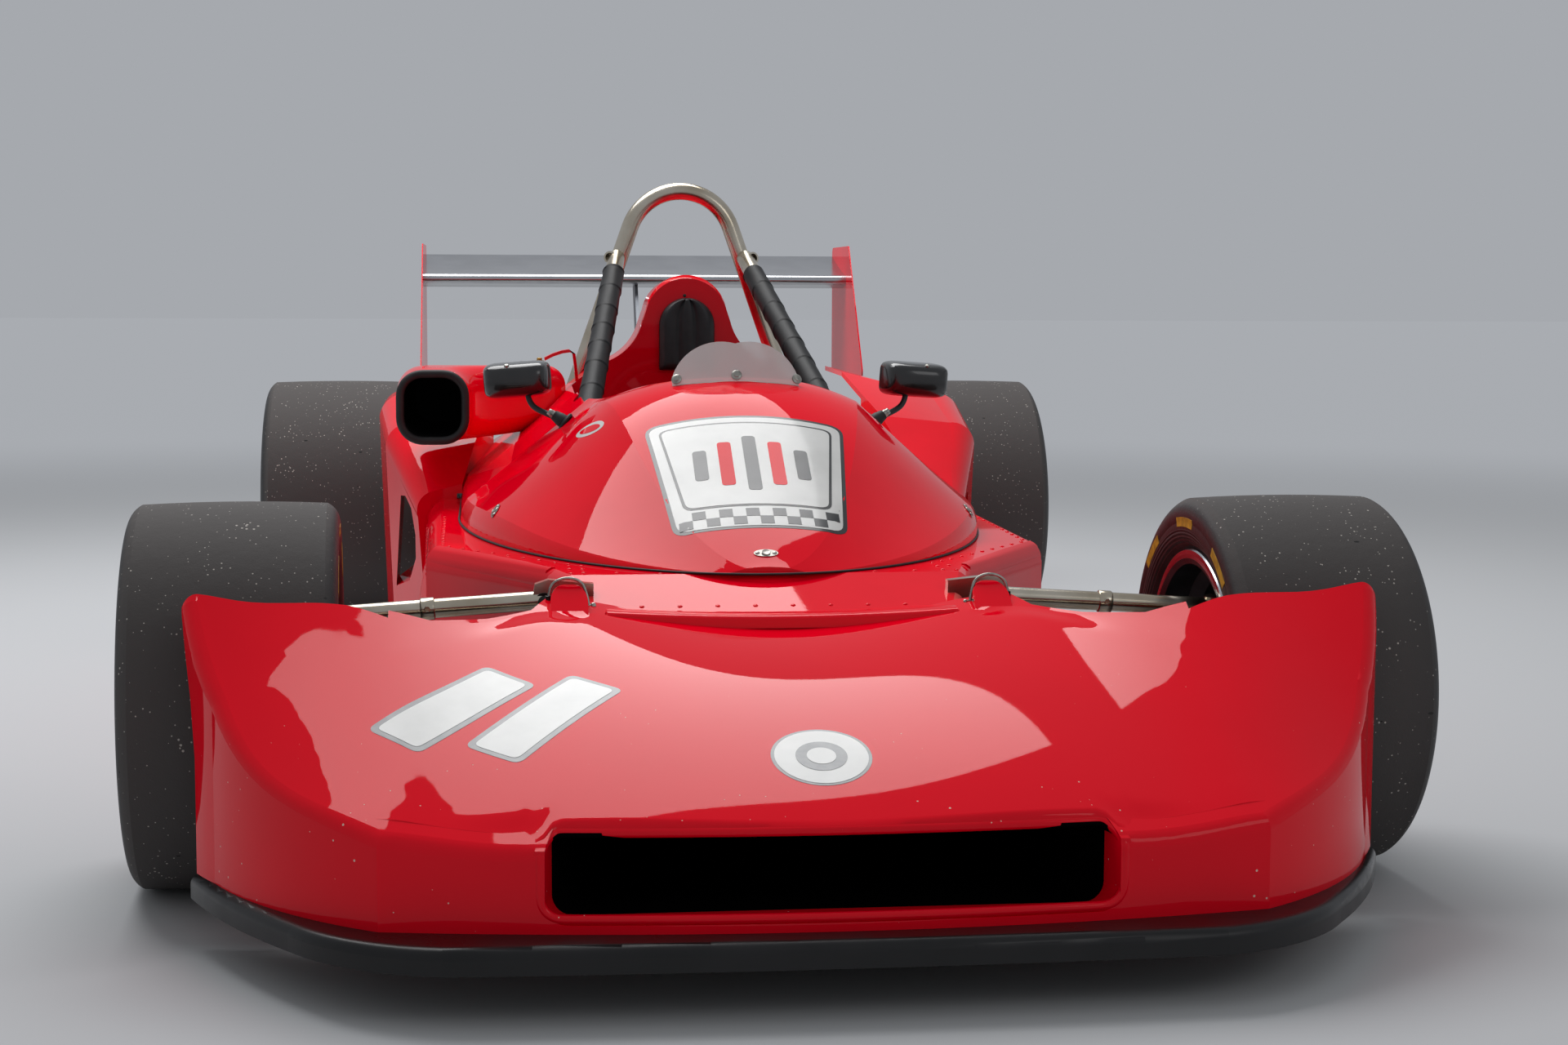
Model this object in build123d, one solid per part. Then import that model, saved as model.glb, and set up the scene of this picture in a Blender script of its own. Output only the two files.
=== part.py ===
"""Open wheel racing car: a single seater of the middle 1970s with a full-width nose.

The car faces -Y, +X is the driver's left hand and +Z is up. Every piece is drawn from the front axle, with
Y as the station behind it, and is moved on writing so that the origin lies on the ground, halfway along the
car. Sizes are millimetres.
"""

import os
from math import cos, radians, sin, sqrt

from build123d import *

# Layout of the running gear
WHEELBASE = 2440.0
FRONT_TRACK = 1416.0
REAR_TRACK = 1410.0
PARKED_STEER = 2.5  # degrees, wheels turned to the driver's left
STEERING_RATIO = 9.0  # turns of the steering wheel for one turn of a knuckle

# Wheels and tyres: outer radius, tread half width, widest half width, rim half width, flange radius
FRONT_WHEEL = dict(tyre_r=254.0, tread=119.0, bulge=134.0, rim=127.0, flange=181.0)
REAR_WHEEL = dict(tyre_r=288.0, tread=158.0, bulge=175.0, rim=168.0, flange=194.0)
RIM_WALL = 6.0
FLANGE_HEIGHT = 15.0
SPINDLE_R = 20.0
RUNNING_FIT = 0.05
BRAKE_DISC_R = 118.0
BRAKE_DISC_THICK = 12.0
BRAKE_PAD_GAP = 5.0
FRONT_DISC_INBOARD = 25.0  # from the wheel's middle plane
REAR_DISC_INBOARD = 66.0
BALL_R = 16.0
BALL_NECK_R = 9.0
BALL_GAP = 0.3
BALL_HOUSING_R = 25.0

# Rear corner geometry and the power train
ENGINE_REAR = 2190.0
SHAFT_IN = 118.5  # where the drive shaft meets the final drive
UPRIGHT_IN = 502.0  # inner face of the rear upright
UPRIGHT_THICK = 42.0
REAR_HUB_R = 26.0
TOW_EYE_R = 12.0

# Front corner geometry
KINGPIN_LOW = (FRONT_TRACK / 2 - 62.0, 0.0, 150.0)
KINGPIN_TOP = (FRONT_TRACK / 2 - 80.0, 0.0, 352.0)
STEERING_ARM = 85.0  # ahead of the kingpin
STEERING_ARM_END = (FRONT_TRACK / 2 - 108.0, -STEERING_ARM, 338.0)
ARM_EYE_THICK = 16.0
ROD_EYE_THICK = 14.0
ROD_EYE_R = 14.0
ROD_END_GAP = 5.0

# Monocoque: floor, top and the widths of its sections
FLOOR_Z = 65.0
TUB_TOP = 400.0
TUB_REAR = 1680.0
COCKPIT_HALF = 235.0
COCKPIT_FLOOR = 85.0
COCKPIT_BACK = 1500.0

# Nose
NOSE_BOTTOM = 90.0
NOSE_SKIN = 5.0
NOSE_REAR = -266.0
DUCT_HALF = 330.0
DUCT_LOW = 100.0
DUCT_HIGH = 192.0
DUCT_CORNER = 24.0
RADIATOR_Y = -190.0
RADIATOR_THICK = 42.0
RADIATOR_HALF = 240.0
RADIATOR_TOP = 320.0
SPLITTER_LOW = 60.0
LIP_BEAD_R = 13.0
FLOOR_THICK = 6.0

# Cockpit panel and rear cover
PANEL_SKIN = 4.0
PANEL_HALF = 430.0
PANEL_FRONT = 34.0
PANEL_LONG = 885.0  # from the seam's front to where the panel is widest
PANEL_BASE = 340.0
PANEL_REAR = 1150.0
COVER_REAR = 1950.0

# Roll hoop
HOOP_Y = 1636.0
HOOP_TUBE_R = 17.0
HOOP_BEND_R = 106.0
HOOP_TOP = 999.0
HOOP_SPLAY = 19.3  # degrees from upright
BRACE_TOP = (128.0, HOOP_Y - 14.0, HOOP_TOP - 149.0)
BRACE_FOOT = (261.8, 570.2, TUB_TOP)
# Root and mouth of an open socket tube, from the brace's top
BRACE_STUB = ((-4.0, 14.0, -7.0), (15.0, -21.0, 1.0))
STUB_R = 12.0
STUB_BORE_R = 8.5
STUB_BORE_SHARE = 0.4  # of the socket's length, from its mouth
PADDING_THICK = 5.0
PADDING_GAP = 0.3
PADDING_R = HOOP_TUBE_R + PADDING_THICK
PADDING_ENDS = (80.0, 640.0)  # from the brace's top
TUBE_HOLE_GAP = 6.0  # round the tubes where they pass the bodywork

# Rear wing
WING_SPAN_HALF = 548.0
WING_LEAD_Y = WHEELBASE + 700.0
WING_LEAD_Z = 826.0
WING_CHORD = 262.0
WING_DEPTH = 52.0
WING_NOSE = 26.0
WING_TAIL = 3.0
WING_ANGLE = 11.0
ENDPLATE_THICK = 3.0
ENDPLATE_Y = (WHEELBASE + 655.0, WHEELBASE + 960.0)
ENDPLATE_FOOT_Y = WHEELBASE + 382.0  # its front edge leans forward to here at the bottom
ENDPLATE_CORNER_R = 18.0
ENDPLATE_Z = (563.0, 902.0)

# Nose plan outline at its bottom edge, from the centre line outwards: half width, station
NOSE_PLAN = (
    (0.0, -668.0), (500.0, -619.0), (600.0, -532.0), (700.0, -378.0), (732.0, -312.0), (748.0, -262.0),
)
# Splitter outline in plan, in the same way
LIP_PLAN = (
    (0.0, -710.0), (430.0, -699.0), (500.0, -672.0), (600.0, -577.0), (700.0, -408.0), (755.0, -262.0),
)
OVERALL = (LIP_PLAN[0][1], ENDPLATE_Y[1])
MID_LENGTH = (OVERALL[0] + OVERALL[1]) / 2


def write(node, shape):
    """Write one node, moved from the front-axle frame to the part's own."""
    os.makedirs("parts", exist_ok=True)
    export_step(Pos(0, -MID_LENGTH, 0) * shape, f"parts/{node}.step")


def group(*shapes):
    """Separate solids that share one node."""
    return Compound([solid for shape in shapes for solid in shape.solids()])


def mirrored(shape):
    """The same piece on the other side of the car."""
    return group(*[mirror(solid, about=Plane.YZ) for solid in shape.solids()])


def both(shape):
    """A piece and its mirror image."""
    return group(shape, mirrored(shape))


def across(y):
    """The upright plane across the car at a station, with local x to +X and local y up."""
    return Plane(origin=(0, y, 0), x_dir=(1, 0, 0), z_dir=(0, -1, 0))


def along(x):
    """The upright plane along the car at a half width, with local x rearward and local y up."""
    return Plane(origin=(x, 0, 0), x_dir=(0, 1, 0), z_dir=(1, 0, 0))


def polygon(points):
    """A closed flat face through the given points."""
    return make_face(Polyline(*points, close=True))


def prism_along_y(face, front, rear):
    """A section drawn in (x, z), carried from one station to another."""
    return extrude(across(rear) * face, amount=rear - front)


def prism_along_x(face, low, high):
    """A side profile drawn in (y, z), carried across the car."""
    return extrude(along(low) * face, amount=high - low)


def prism_up(face, low, high):
    """A plan shape drawn in (x, y), carried upwards."""
    return extrude(Pos(0, 0, low) * face, amount=high - low)


def block(low, high):
    """A rectangular solid between two corners."""
    size = [b - a for a, b in zip(low, high)]
    middle = [(a + b) / 2 for a, b in zip(low, high)]
    return Pos(*middle) * Box(*size)


def rod(start, end, radius):
    """A round bar between two points."""
    axis = Vector(*end) - Vector(*start)
    return extrude(Plane(origin=start, z_dir=axis) * Circle(radius), amount=axis.length)


def turned(points):
    """A ring turned about the X axis from a section given as (offset, radius) pairs."""
    return revolve(polygon([(offset, radius) for offset, radius in points]), Axis.X)


def tub_section(y, low_half, edge_half, edge_z, top_half, top_z):
    """One section of the monocoque: flat floor and top, leaning sides and rounded top corners."""
    bend = ((edge_half + top_half) / 2 + 4, (edge_z + top_z) / 2 + 5)
    right = Line((low_half, FLOOR_Z), (edge_half, edge_z))
    right += ThreePointArc((edge_half, edge_z), bend, (top_half, top_z))
    left = ThreePointArc((-top_half, top_z), (-bend[0], bend[1]), (-edge_half, edge_z))
    left += Line((-edge_half, edge_z), (-low_half, FLOOR_Z))
    top = Line((top_half, top_z), (-top_half, top_z))
    return across(y) * make_face(right + top + left + Line((-low_half, FLOOR_Z), (low_half, FLOOR_Z)))


# Monocoque sections: station, floor half width, edge half width, edge height, top half width, top height
TUB_SECTIONS = (
    (-100.0, 205.0, 240.0, 325.0, 226.0, 352.0),
    (60.0, 225.0, 283.0, 372.0, 268.0, TUB_TOP),
    (131.0, 240.0, 300.0, 372.0, 286.0, TUB_TOP),
    (457.0, 474.0, 474.0, 372.0, 454.0, TUB_TOP),
    (TUB_REAR, 548.0, 502.0, 366.0, 466.0, TUB_TOP),
)
# The footbox's room: station, width, ceiling
FOOTWELL = ((-92.0, 390.0, 335.0), (131.0, 440.0, 382.0))
HATCH_INSET = 15.0  # of the tub's top opening from the cabin's walls
RACK_Y = -STEERING_ARM
RACK_Z = 318.0
RACK_HALF = 240.0
RACK_R = 13.0
RACK_TUBE_R = 22.0
RACK_SLOT_R = 30.0  # in the footbox's sides
RACK_BRACKET = (96.0, 128.0)  # half widths of the tube's clamps
COLUMN_TOP = (0.0, 742.0, 500.0)
COLUMN_LOW = (0.0, -28.0, 300.0)
COLUMN_R = 11.0
DASH_Y = 503.0
DASH_THICK = 4.0


def tub_outer():
    """The monocoque's outer form, solid."""
    sections = [tub_section(*row) for row in TUB_SECTIONS]
    parts = [loft([front, rear], ruled=True) for front, rear in zip(sections, sections[1:])]
    tub = parts[0]
    for part in parts[1:]:
        tub += part
    return tub


def monocoque():
    """The sheet tub: a narrow footbox that flares into full-width side tanks, hollow for the driver."""
    ends = [
        across(y) * Pos(0, (COCKPIT_FLOOR + ceiling) / 2) * Rectangle(wide, ceiling - COCKPIT_FLOOR)
        for y, wide, ceiling in FOOTWELL
    ]
    _, (cabin_y, _, ceiling) = FOOTWELL
    cabin = block((-COCKPIT_HALF, cabin_y, COCKPIT_FLOOR), (COCKPIT_HALF, COCKPIT_BACK, ceiling))
    hatch_half = COCKPIT_HALF - HATCH_INSET
    hatch = block((-hatch_half, cabin_y + 19, ceiling - 7), (hatch_half, COCKPIT_BACK - 20, TUB_TOP + 10))
    rack_slot = rod((-300, RACK_Y, RACK_Z), (300, RACK_Y, RACK_Z), RACK_SLOT_R)
    return tub_outer() - loft(ends, ruled=True) - cabin - hatch - rack_slot


def plan_outline(table, inset, rear):
    """An outline in plan: three arcs each side from a table of half widths, and a straight rear edge."""
    wide = table[-1][0]
    right = [(half * (1 - inset / wide), y + inset) for half, y in table]
    left = [(-x, y) for x, y in right]
    outline = [
        ThreePointArc(left[1], right[0], right[1]),
        ThreePointArc(right[1], right[2], right[3]),
        ThreePointArc(right[3], right[4], right[5]),
        Polyline(right[5], (right[5][0], rear), (-right[5][0], rear), left[5]),
        ThreePointArc(left[5], left[4], left[3]),
        ThreePointArc(left[3], left[2], left[1]),
    ]
    return make_face(Curve() + outline)


def nose_plan(inset=0.0):
    """The nose outline in plan."""
    return plan_outline(NOSE_PLAN, inset, NOSE_BEHIND)


# Ribs of the nose top: half width, height at the front of the loft, at its middle, and at its rear
NOSE_RIBS = (
    (0.0, 124.0, 293.0, 360.0),
    (150.0, 124.0, 293.0, 361.0),
    (300.0, 120.0, 295.0, 398.0),
    (450.0, 112.0, 306.0, 462.0),
    (540.0, 100.0, 315.0, 526.0),
    (640.0, 30.0, 297.0, 566.0),
    (700.0, -28.0, 286.0, 598.0),
    (750.0, -84.0, 272.0, 622.0),
)
RIB_FRONT = -760.0
RIB_REAR = -60.0
RIB_BASE = -300.0
NOSE_BEHIND = -60.0
NOSE_LOFT_TOP = 900.0
CREST_R = 20.0


def nose_top(drop=0.0):
    """Everything under the nose's top surface, lofted across the car through its ribs."""
    ribs = []
    for half, front_z, middle_z, rear_z in NOSE_RIBS:
        front = (RIB_FRONT, front_z - drop)
        middle = ((RIB_FRONT + RIB_REAR) / 2, middle_z - drop)
        rear = (RIB_REAR, rear_z - drop)
        base = Polyline(rear, (RIB_REAR, RIB_BASE), (RIB_FRONT, RIB_BASE), front)
        ribs.append((half, make_face(ThreePointArc(front, middle, rear) + base)))
    sections = [along(-half) * rib for half, rib in reversed(ribs[1:])]
    sections += [along(half) * rib for half, rib in ribs]
    return loft(sections)


# Rear edge of the nose in plan, from the outer side inwards: half width, station
NOSE_REAR_EDGE = (
    (760.0, NOSE_REAR), (540.0, NOSE_REAR), (450.0, -250.0),
    (380.0, -200.0), (325.0, -150.0), (304.0, -100.0),
)
TYRE_SWEEP = FRONT_WHEEL["tyre_r"] + 70.0  # ahead of the axle, room for the tyre on full lock
# Rear end of the nose's sides, cut to clear the tyres: station, height
TYRE_CLEARANCE = (
    (NOSE_REAR + 4.0, 470.0), (NOSE_REAR, 404.0), (14.0 - TYRE_SWEEP, 300.0),
    (-TYRE_SWEEP, 230.0), (-TYRE_SWEEP, 40.0),
)
TAB_HALF = (252.0, 300.0)  # the two tabs over the suspension brackets
TAB_TOP = 407.0
TAB_PROFILE = (
    (-205.0, 338.0), (-150.0, 377.0), (-104.0, TAB_TOP),
    (-104.0, TAB_TOP - 6.0), (-150.0, 371.0), (-205.0, 330.0),
)
TAB_TALL = 120.0
TAB_ARCH_R = 19.0
FLANGE_HALF = 236.0
FLANGE = (-146.0, -102.0, 340.0, 364.0)  # the raised flange at the rear edge: stations, heights


def nose_body(skin):
    """The nose's full form with its crest rounded, or its inside when skin is the wall's thickness."""
    body = nose_top(skin) & prism_up(nose_plan(skin), NOSE_BOTTOM - 2 * skin, NOSE_LOFT_TOP)
    upper = [edge for edge in body.edges() if edge.center().Z > NOSE_BOTTOM + 20 and edge.center().Y < -120]
    crest = [edge for edge in upper if abs(edge.tangent_at(0.5).Z) < 0.95]
    return fillet(crest, CREST_R - skin)


def nose_cone():
    """The moulded nose: one thin shell as wide as the car, raised ahead of the tyres, with a duct mouth."""
    plan_cut = polygon(
        list(NOSE_REAR_EDGE) + [(-x, y) for x, y in reversed(NOSE_REAR_EDGE)] + [(-760, -900), (760, -900)]
    )
    shell = (nose_body(0.0) - nose_body(NOSE_SKIN)) & prism_up(plan_cut, -10, 600)
    sweep_cut = polygon(list(TYRE_CLEARANCE) + [(0, 40), (0, 470)])
    shell -= prism_along_x(sweep_cut, 500, 770)
    shell -= prism_along_x(sweep_cut, -770, -500)
    front, rear, low, high = FLANGE
    shell += prism_up(Pos(0, (front + rear) / 2) * SlotOverall(2 * FLANGE_HALF, rear - front), low, high)
    arch = RectangleRounded(TAB_HALF[1] - TAB_HALF[0], TAB_TALL, TAB_ARCH_R)
    arch = Pos((TAB_HALF[0] + TAB_HALF[1]) / 2, TAB_TOP - TAB_TALL / 2) * arch
    tab = prism_along_x(polygon(TAB_PROFILE), *TAB_HALF) & prism_along_y(arch, TAB_PROFILE[0][0] - 1, -1)
    shell += tab
    shell += mirrored(tab)
    duct_rear = RADIATOR_Y - RADIATOR_THICK / 2
    duct_outer = loft([duct_mouth(-660, NOSE_SKIN), duct_end(duct_rear, NOSE_SKIN)], ruled=True)
    duct_inner = loft([duct_mouth(-700, 0), duct_end(duct_rear, 0)], ruled=True)
    duct_outer = duct_outer & nose_top(1.0) & prism_up(nose_plan(1.0), NOSE_BOTTOM, 500)
    return (shell + duct_outer) - duct_inner


def duct_mouth(y, grow):
    """The duct's section at the mouth."""
    wide = 2 * (DUCT_HALF + grow)
    tall = DUCT_HIGH - DUCT_LOW + 2 * grow
    return across(y) * Pos(0, (DUCT_LOW + DUCT_HIGH) / 2) * RectangleRounded(wide, tall, DUCT_CORNER + grow)


def duct_end(y, grow):
    """The duct's section where it meets the radiator."""
    high = RADIATOR_TOP - 14
    wide = 2 * (RADIATOR_HALF - 10 + grow)
    tall = high - DUCT_LOW + 2 * grow
    return across(y) * Pos(0, (DUCT_LOW + high) / 2) * RectangleRounded(wide, tall, DUCT_CORNER + grow)


def front_splitter():
    """The black lip under the nose, one moulding with the nose's floor, with a round bead along its front."""
    lip = prism_up(plan_outline(LIP_PLAN, 0.0, NOSE_BEHIND), SPLITTER_LOW, NOSE_BOTTOM)
    upper = [edge for edge in lip.edges() if abs(edge.center().Z - NOSE_BOTTOM) < 1]
    bead = [edge for edge in upper if edge.center().Y < -180 and abs(edge.tangent_at(0.5).Z) < 0.5]
    lip = fillet(bead, LIP_BEAD_R)
    hollow = prism_up(plan_outline(NOSE_PLAN, 18.0, NOSE_BEHIND), SPLITTER_LOW - 1, NOSE_BOTTOM - FLOOR_THICK)
    keep = block((-760, -900, 0), (760, TYRE_CLEARANCE[-1][0], 200))
    return (lip - hollow) & keep


def radiator():
    """The water radiator across the end of the nose duct, with its side tanks."""
    core = block(
        (-RADIATOR_HALF, RADIATOR_Y - RADIATOR_THICK / 2, NOSE_BOTTOM + 6),
        (RADIATOR_HALF, RADIATOR_Y + RADIATOR_THICK / 2, RADIATOR_TOP),
    )
    for low in (120, 280):
        lug = block((160, RADIATOR_Y + RADIATOR_THICK / 2, low), (176, TUB_SECTIONS[0][0], low + 16))
        core += lug + mirrored(lug)
    return core


# Stations of the cockpit panel's loft, from its tip rearwards: station, crown height
PANEL_STATIONS = (
    (42.0, 411.0), (80.0, 433.0), (140.0, 468.0), (230.0, 520.0),
    (370.0, 602.0), (498.0, 650.0), (640.0, 653.0), (800.0, 652.0),
)
# The panel's profile as shares of half width and of height over the seam
CROWN_SHARE = (0.5, 0.83)
FLANK_SHARE = (0.975, 0.17)
EDGE_SHARE = 0.03
TURN_OUT = 0.007  # how far the turn bulges, as a share of half width


def edge_turn(half, rise):
    """The middle of the round turn down to the seam, as (half width, height)."""
    out = half * ((1 + FLANK_SHARE[0]) / 2 + TURN_OUT)
    return out, TUB_TOP + rise * (FLANK_SHARE[1] + EDGE_SHARE) / 2


def panel_half(y):
    """The panel's half width at a station, on the ellipse that its seam follows."""
    share = min(1.0, (PANEL_FRONT + PANEL_LONG - y) / PANEL_LONG)
    return PANEL_HALF * sqrt(1 - max(0.0, share) ** 2)


def panel_section(y, crown_z, skin):
    """One section of the panel: a round crown, straight flanks and a round turn down to the seam."""
    half = panel_half(y) - skin
    rise = crown_z - skin - TUB_TOP
    hip = (half * CROWN_SHARE[0], TUB_TOP + rise * CROWN_SHARE[1])
    foot = (half * FLANK_SHARE[0], TUB_TOP + rise * FLANK_SHARE[1])
    edge = (half, TUB_TOP + rise * EDGE_SHARE)
    turn = edge_turn(half, rise)
    right = Line(hip, foot) + ThreePointArc(foot, turn, edge)
    left = Line((-foot[0], foot[1]), (-hip[0], hip[1]))
    left += ThreePointArc((-edge[0], edge[1]), (-turn[0], turn[1]), (-foot[0], foot[1]))
    crown = ThreePointArc((-hip[0], hip[1]), (0, crown_z - skin), hip)
    base = Polyline(edge, (half, PANEL_BASE), (-half, PANEL_BASE), (-edge[0], edge[1]))
    return across(y) * make_face(crown + right + base + left)


def panel_body(skin, rear):
    """The cockpit panel's form back to a station, or its inside when skin is the wall's thickness."""
    rows = PANEL_STATIONS[1 if skin > 0 else 0:]
    sections = [panel_section(y, crown_z, skin) for y, crown_z in rows]
    end = panel_section(rear, rows[-1][1], skin)
    return loft(sections) + loft([sections[-1], end], ruled=True)


MOUTH_FRONT = 512.0
MOUTH_REAR = 1476.0
MOUTH_HALF = 222.0
HEAD_PAD = (54.0, 632.0, 772.0)  # half width, bottom, top
HEAD_PAD_THICK = 26.0


def cockpit_mouth():
    """Plan of the cockpit opening, narrow and round behind the windscreen."""
    arc = ThreePointArc((-150, 600), (0, MOUTH_FRONT), (150, 600))
    sides = Polyline((150, 600), (MOUTH_HALF, 820), (MOUTH_HALF, MOUTH_REAR), (-MOUTH_HALF, MOUTH_REAR),
                     (-MOUTH_HALF, 820), (-150, 600))
    return make_face(arc + sides)


def brace_axis(distance):
    """A point on the left forward brace, measured down from its top end."""
    step = (Vector(*BRACE_FOOT) - Vector(*BRACE_TOP)).normalized() * distance
    return Vector(*BRACE_TOP) + step


def brace_holes():
    """Rods that cut the two holes through which the forward braces pass."""
    return both(rod(BRACE_TOP, BRACE_FOOT, PADDING_R + TUBE_HOLE_GAP))


def cockpit_panel():
    """The red dome over the driver's legs, a thin shell with the cockpit opening and two brace holes."""
    shell = panel_body(0.0, PANEL_REAR + 10) - panel_body(PANEL_SKIN, PANEL_REAR + 10)
    shell &= block((-PANEL_HALF - 5, 0, TUB_TOP), (PANEL_HALF + 5, PANEL_REAR, 800))
    return shell - prism_up(cockpit_mouth(), 520, 900) - brace_holes()


# Windscreen outline seen from ahead: half width and height of its foot, shoulder and top
SCREEN_FOOT = (97.0, 634.0)
SCREEN_SHOULDER = (64.0, 692.0)
SCREEN_TOP = 705.0
SCREEN_BASE = 648.0
SCREEN_THICK = 3.0
SCREEN_R = 260.0
SCREEN_LEAN = 24.0  # degrees back from upright
SCREEN_Y = 483.0


def windscreen():
    """The clear screen, bent round and leaning back, screwed to the panel's crown."""
    foot_x, foot_z = SCREEN_FOOT
    side_x, side_z = SCREEN_SHOULDER
    low_side = (foot_x + 2, foot_z + 14)
    outline = (
        ThreePointArc((-low_side[0], low_side[1]), (-side_x - 19, side_z - 13), (0, SCREEN_TOP))
        + ThreePointArc((0, SCREEN_TOP), (side_x + 19, side_z - 13), low_side)
        + Line(low_side, SCREEN_FOOT)
        + ThreePointArc(SCREEN_FOOT, (0, SCREEN_BASE), (-foot_x, foot_z))
        + Line((-foot_x, foot_z), (-low_side[0], low_side[1]))
    )
    tilt = Pos(0, SCREEN_Y, SCREEN_BASE) * Rot(-SCREEN_LEAN, 0, 0) * Pos(0, SCREEN_R, 0)
    ring = tilt * (Cylinder(SCREEN_R, 300) - Cylinder(SCREEN_R - SCREEN_THICK, 310))
    screen = ring & prism_along_y(make_face(outline), 430, 620)
    return screen - panel_body(-0.3, PANEL_REAR + 10)


# Stations of the rear cover: station, hump top, hump side (half width, height), its foot, and where the
# shoulder starts; the flank then runs straight to the panel's own edge
COVER_STATIONS = (
    (PANEL_REAR, 652.0, (77.0, 645.0), (86.0, 643.0), (170.0, 625.0)),
    (1490.0, 816.0, (78.0, 752.0), (85.0, 730.0), (172.0, 645.0)),
    (1640.0, 812.0, (77.0, 748.0), (85.0, 726.0), (172.0, 645.0)),
    (COVER_REAR, 690.0, (60.0, 655.0), (68.0, 640.0), (150.0, 600.0)),
)


def cover_section(row, skin):
    """One section of the rear cover: hump, hollow foot, straight shoulder and turned-down edge."""
    y, top, hip, foot, shoulder = row
    rise = PANEL_STATIONS[-1][1] - TUB_TOP
    half = PANEL_HALF
    flank = (half * FLANK_SHARE[0] - skin, TUB_TOP + rise * FLANK_SHARE[1] - skin)
    edge = (half - skin, TUB_TOP + rise * EDGE_SHARE)
    turn_out, turn_z = edge_turn(half, rise)
    turn = (turn_out - skin, turn_z - skin * 0.5)
    points = [(x - skin, z - skin * 0.5) for x, z in (hip, foot, shoulder)]
    hollow = ((points[1][0] * 0.66 + points[2][0] * 0.34), (points[1][1] * 0.36 + points[2][1] * 0.64))
    lines = ThreePointArc((-points[0][0], points[0][1]), (0, top - skin), points[0])
    for sign in (1, -1):
        hip_p, foot_p, shoulder_p, hollow_p, flank_p, turn_p, edge_p = [
            (sign * x, z) for x, z in (*points, hollow, flank, turn, edge)
        ]
        lines += Line(hip_p, foot_p) + ThreePointArc(foot_p, hollow_p, shoulder_p)
        lines += Line(shoulder_p, flank_p) + ThreePointArc(flank_p, turn_p, edge_p)
    lines += Polyline(edge, (edge[0], PANEL_BASE), (-edge[0], PANEL_BASE), (-edge[0], edge[1]))
    return across(y) * make_face(lines)


def cover_body(skin):
    """The rear cover's full form, or its inside when skin is the wall's thickness."""
    rows = list(COVER_STATIONS)
    if skin:
        rows[0] = (rows[0][0] - 10, *rows[0][1:])
        rows[-1] = (rows[-1][0] + 10, *rows[-1][1:])
    return loft([cover_section(row, skin) for row in rows], ruled=True)


def rear_cover():
    """The cover behind the driver: shoulders that carry on the panel's line, and the headrest hump."""
    solid = cover_body(0.0)
    wall_ends = ((-COCKPIT_HALF, MOUTH_REAR, TUB_TOP), (COCKPIT_HALF, MOUTH_REAR + PANEL_SKIN, 900))
    face_wall = solid & block(*wall_ends)
    shell = solid - cover_body(PANEL_SKIN)
    shell &= block((-PANEL_HALF - 5, PANEL_REAR, TUB_TOP), (PANEL_HALF + 5, COVER_REAR, 900))
    shell = (shell - prism_up(cockpit_mouth(), 520, 900)) + face_wall
    low, high = hoop_leg()
    leg = rod((low[0], HOOP_Y, low[1]), (high[0], HOOP_Y, high[1]), HOOP_TUBE_R + TUBE_HOLE_GAP)
    return shell - leg - mirrored(leg) - brace_holes()


def headrest_pad():
    """The driver's head pad, arched at its top, held on the hump's front face."""
    half, low, high = HEAD_PAD
    outline = Polyline((-half, high - half), (-half, low), (half, low), (half, high - half))
    outline += ThreePointArc((half, high - half), (0, high), (-half, high - half))
    pad = prism_along_y(make_face(outline), MOUTH_REAR - HEAD_PAD_THICK, MOUTH_REAR - 0.3)
    rear_edges = [edge for edge in pad.edges() if abs(edge.center().Y - (MOUTH_REAR - HEAD_PAD_THICK)) < 0.1]
    return fillet(rear_edges, 7)


def hoop_leg():
    """The lower and upper ends of the straight hoop leg, as (half width, height)."""
    centre_z = HOOP_TOP - HOOP_TUBE_R - HOOP_BEND_R
    high = (HOOP_BEND_R * cos(radians(HOOP_SPLAY)), centre_z + HOOP_BEND_R * sin(radians(HOOP_SPLAY)))
    drop = high[1] - TUB_TOP
    low = (high[0] + drop * sin(radians(HOOP_SPLAY)) / cos(radians(HOOP_SPLAY)), TUB_TOP)
    return low, high


def roll_hoop():
    """The tubular hoop with its two forward braces."""
    low, high = hoop_leg()
    top_z = HOOP_TOP - HOOP_TUBE_R
    path = (
        Line((-low[0], HOOP_Y, low[1]), (-high[0], HOOP_Y, high[1]))
        + ThreePointArc((-high[0], HOOP_Y, high[1]), (0, HOOP_Y, top_z), (high[0], HOOP_Y, high[1]))
        + Line((high[0], HOOP_Y, high[1]), (low[0], HOOP_Y, low[1]))
    )
    start = path @ 0
    hoop = sweep(Plane(origin=start, z_dir=path % 0) * Circle(HOOP_TUBE_R), path=path)
    hoop &= block((-500, HOOP_Y - 60, TUB_TOP), (500, HOOP_Y + 60, HOOP_TOP + 100))
    below = brace_axis((Vector(*BRACE_FOOT) - Vector(*BRACE_TOP)).length + 40)
    for side in (1, -1):
        top = (side * BRACE_TOP[0], BRACE_TOP[1], BRACE_TOP[2])
        brace = rod(top, (side * below.X, below.Y, below.Z), HOOP_TUBE_R)
        hoop += brace & block((-500, 300, TUB_TOP), (500, 1700, HOOP_TOP + 100))
        root, mouth = [Vector(*top) + Vector(side * x, y, z) for x, y, z in BRACE_STUB]
        hoop += rod(tuple(root), tuple(mouth), STUB_R)
        bore_end = mouth + (root - mouth) * STUB_BORE_SHARE
        hoop -= rod(tuple(mouth), tuple(bore_end), STUB_BORE_R)
    return hoop


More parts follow.
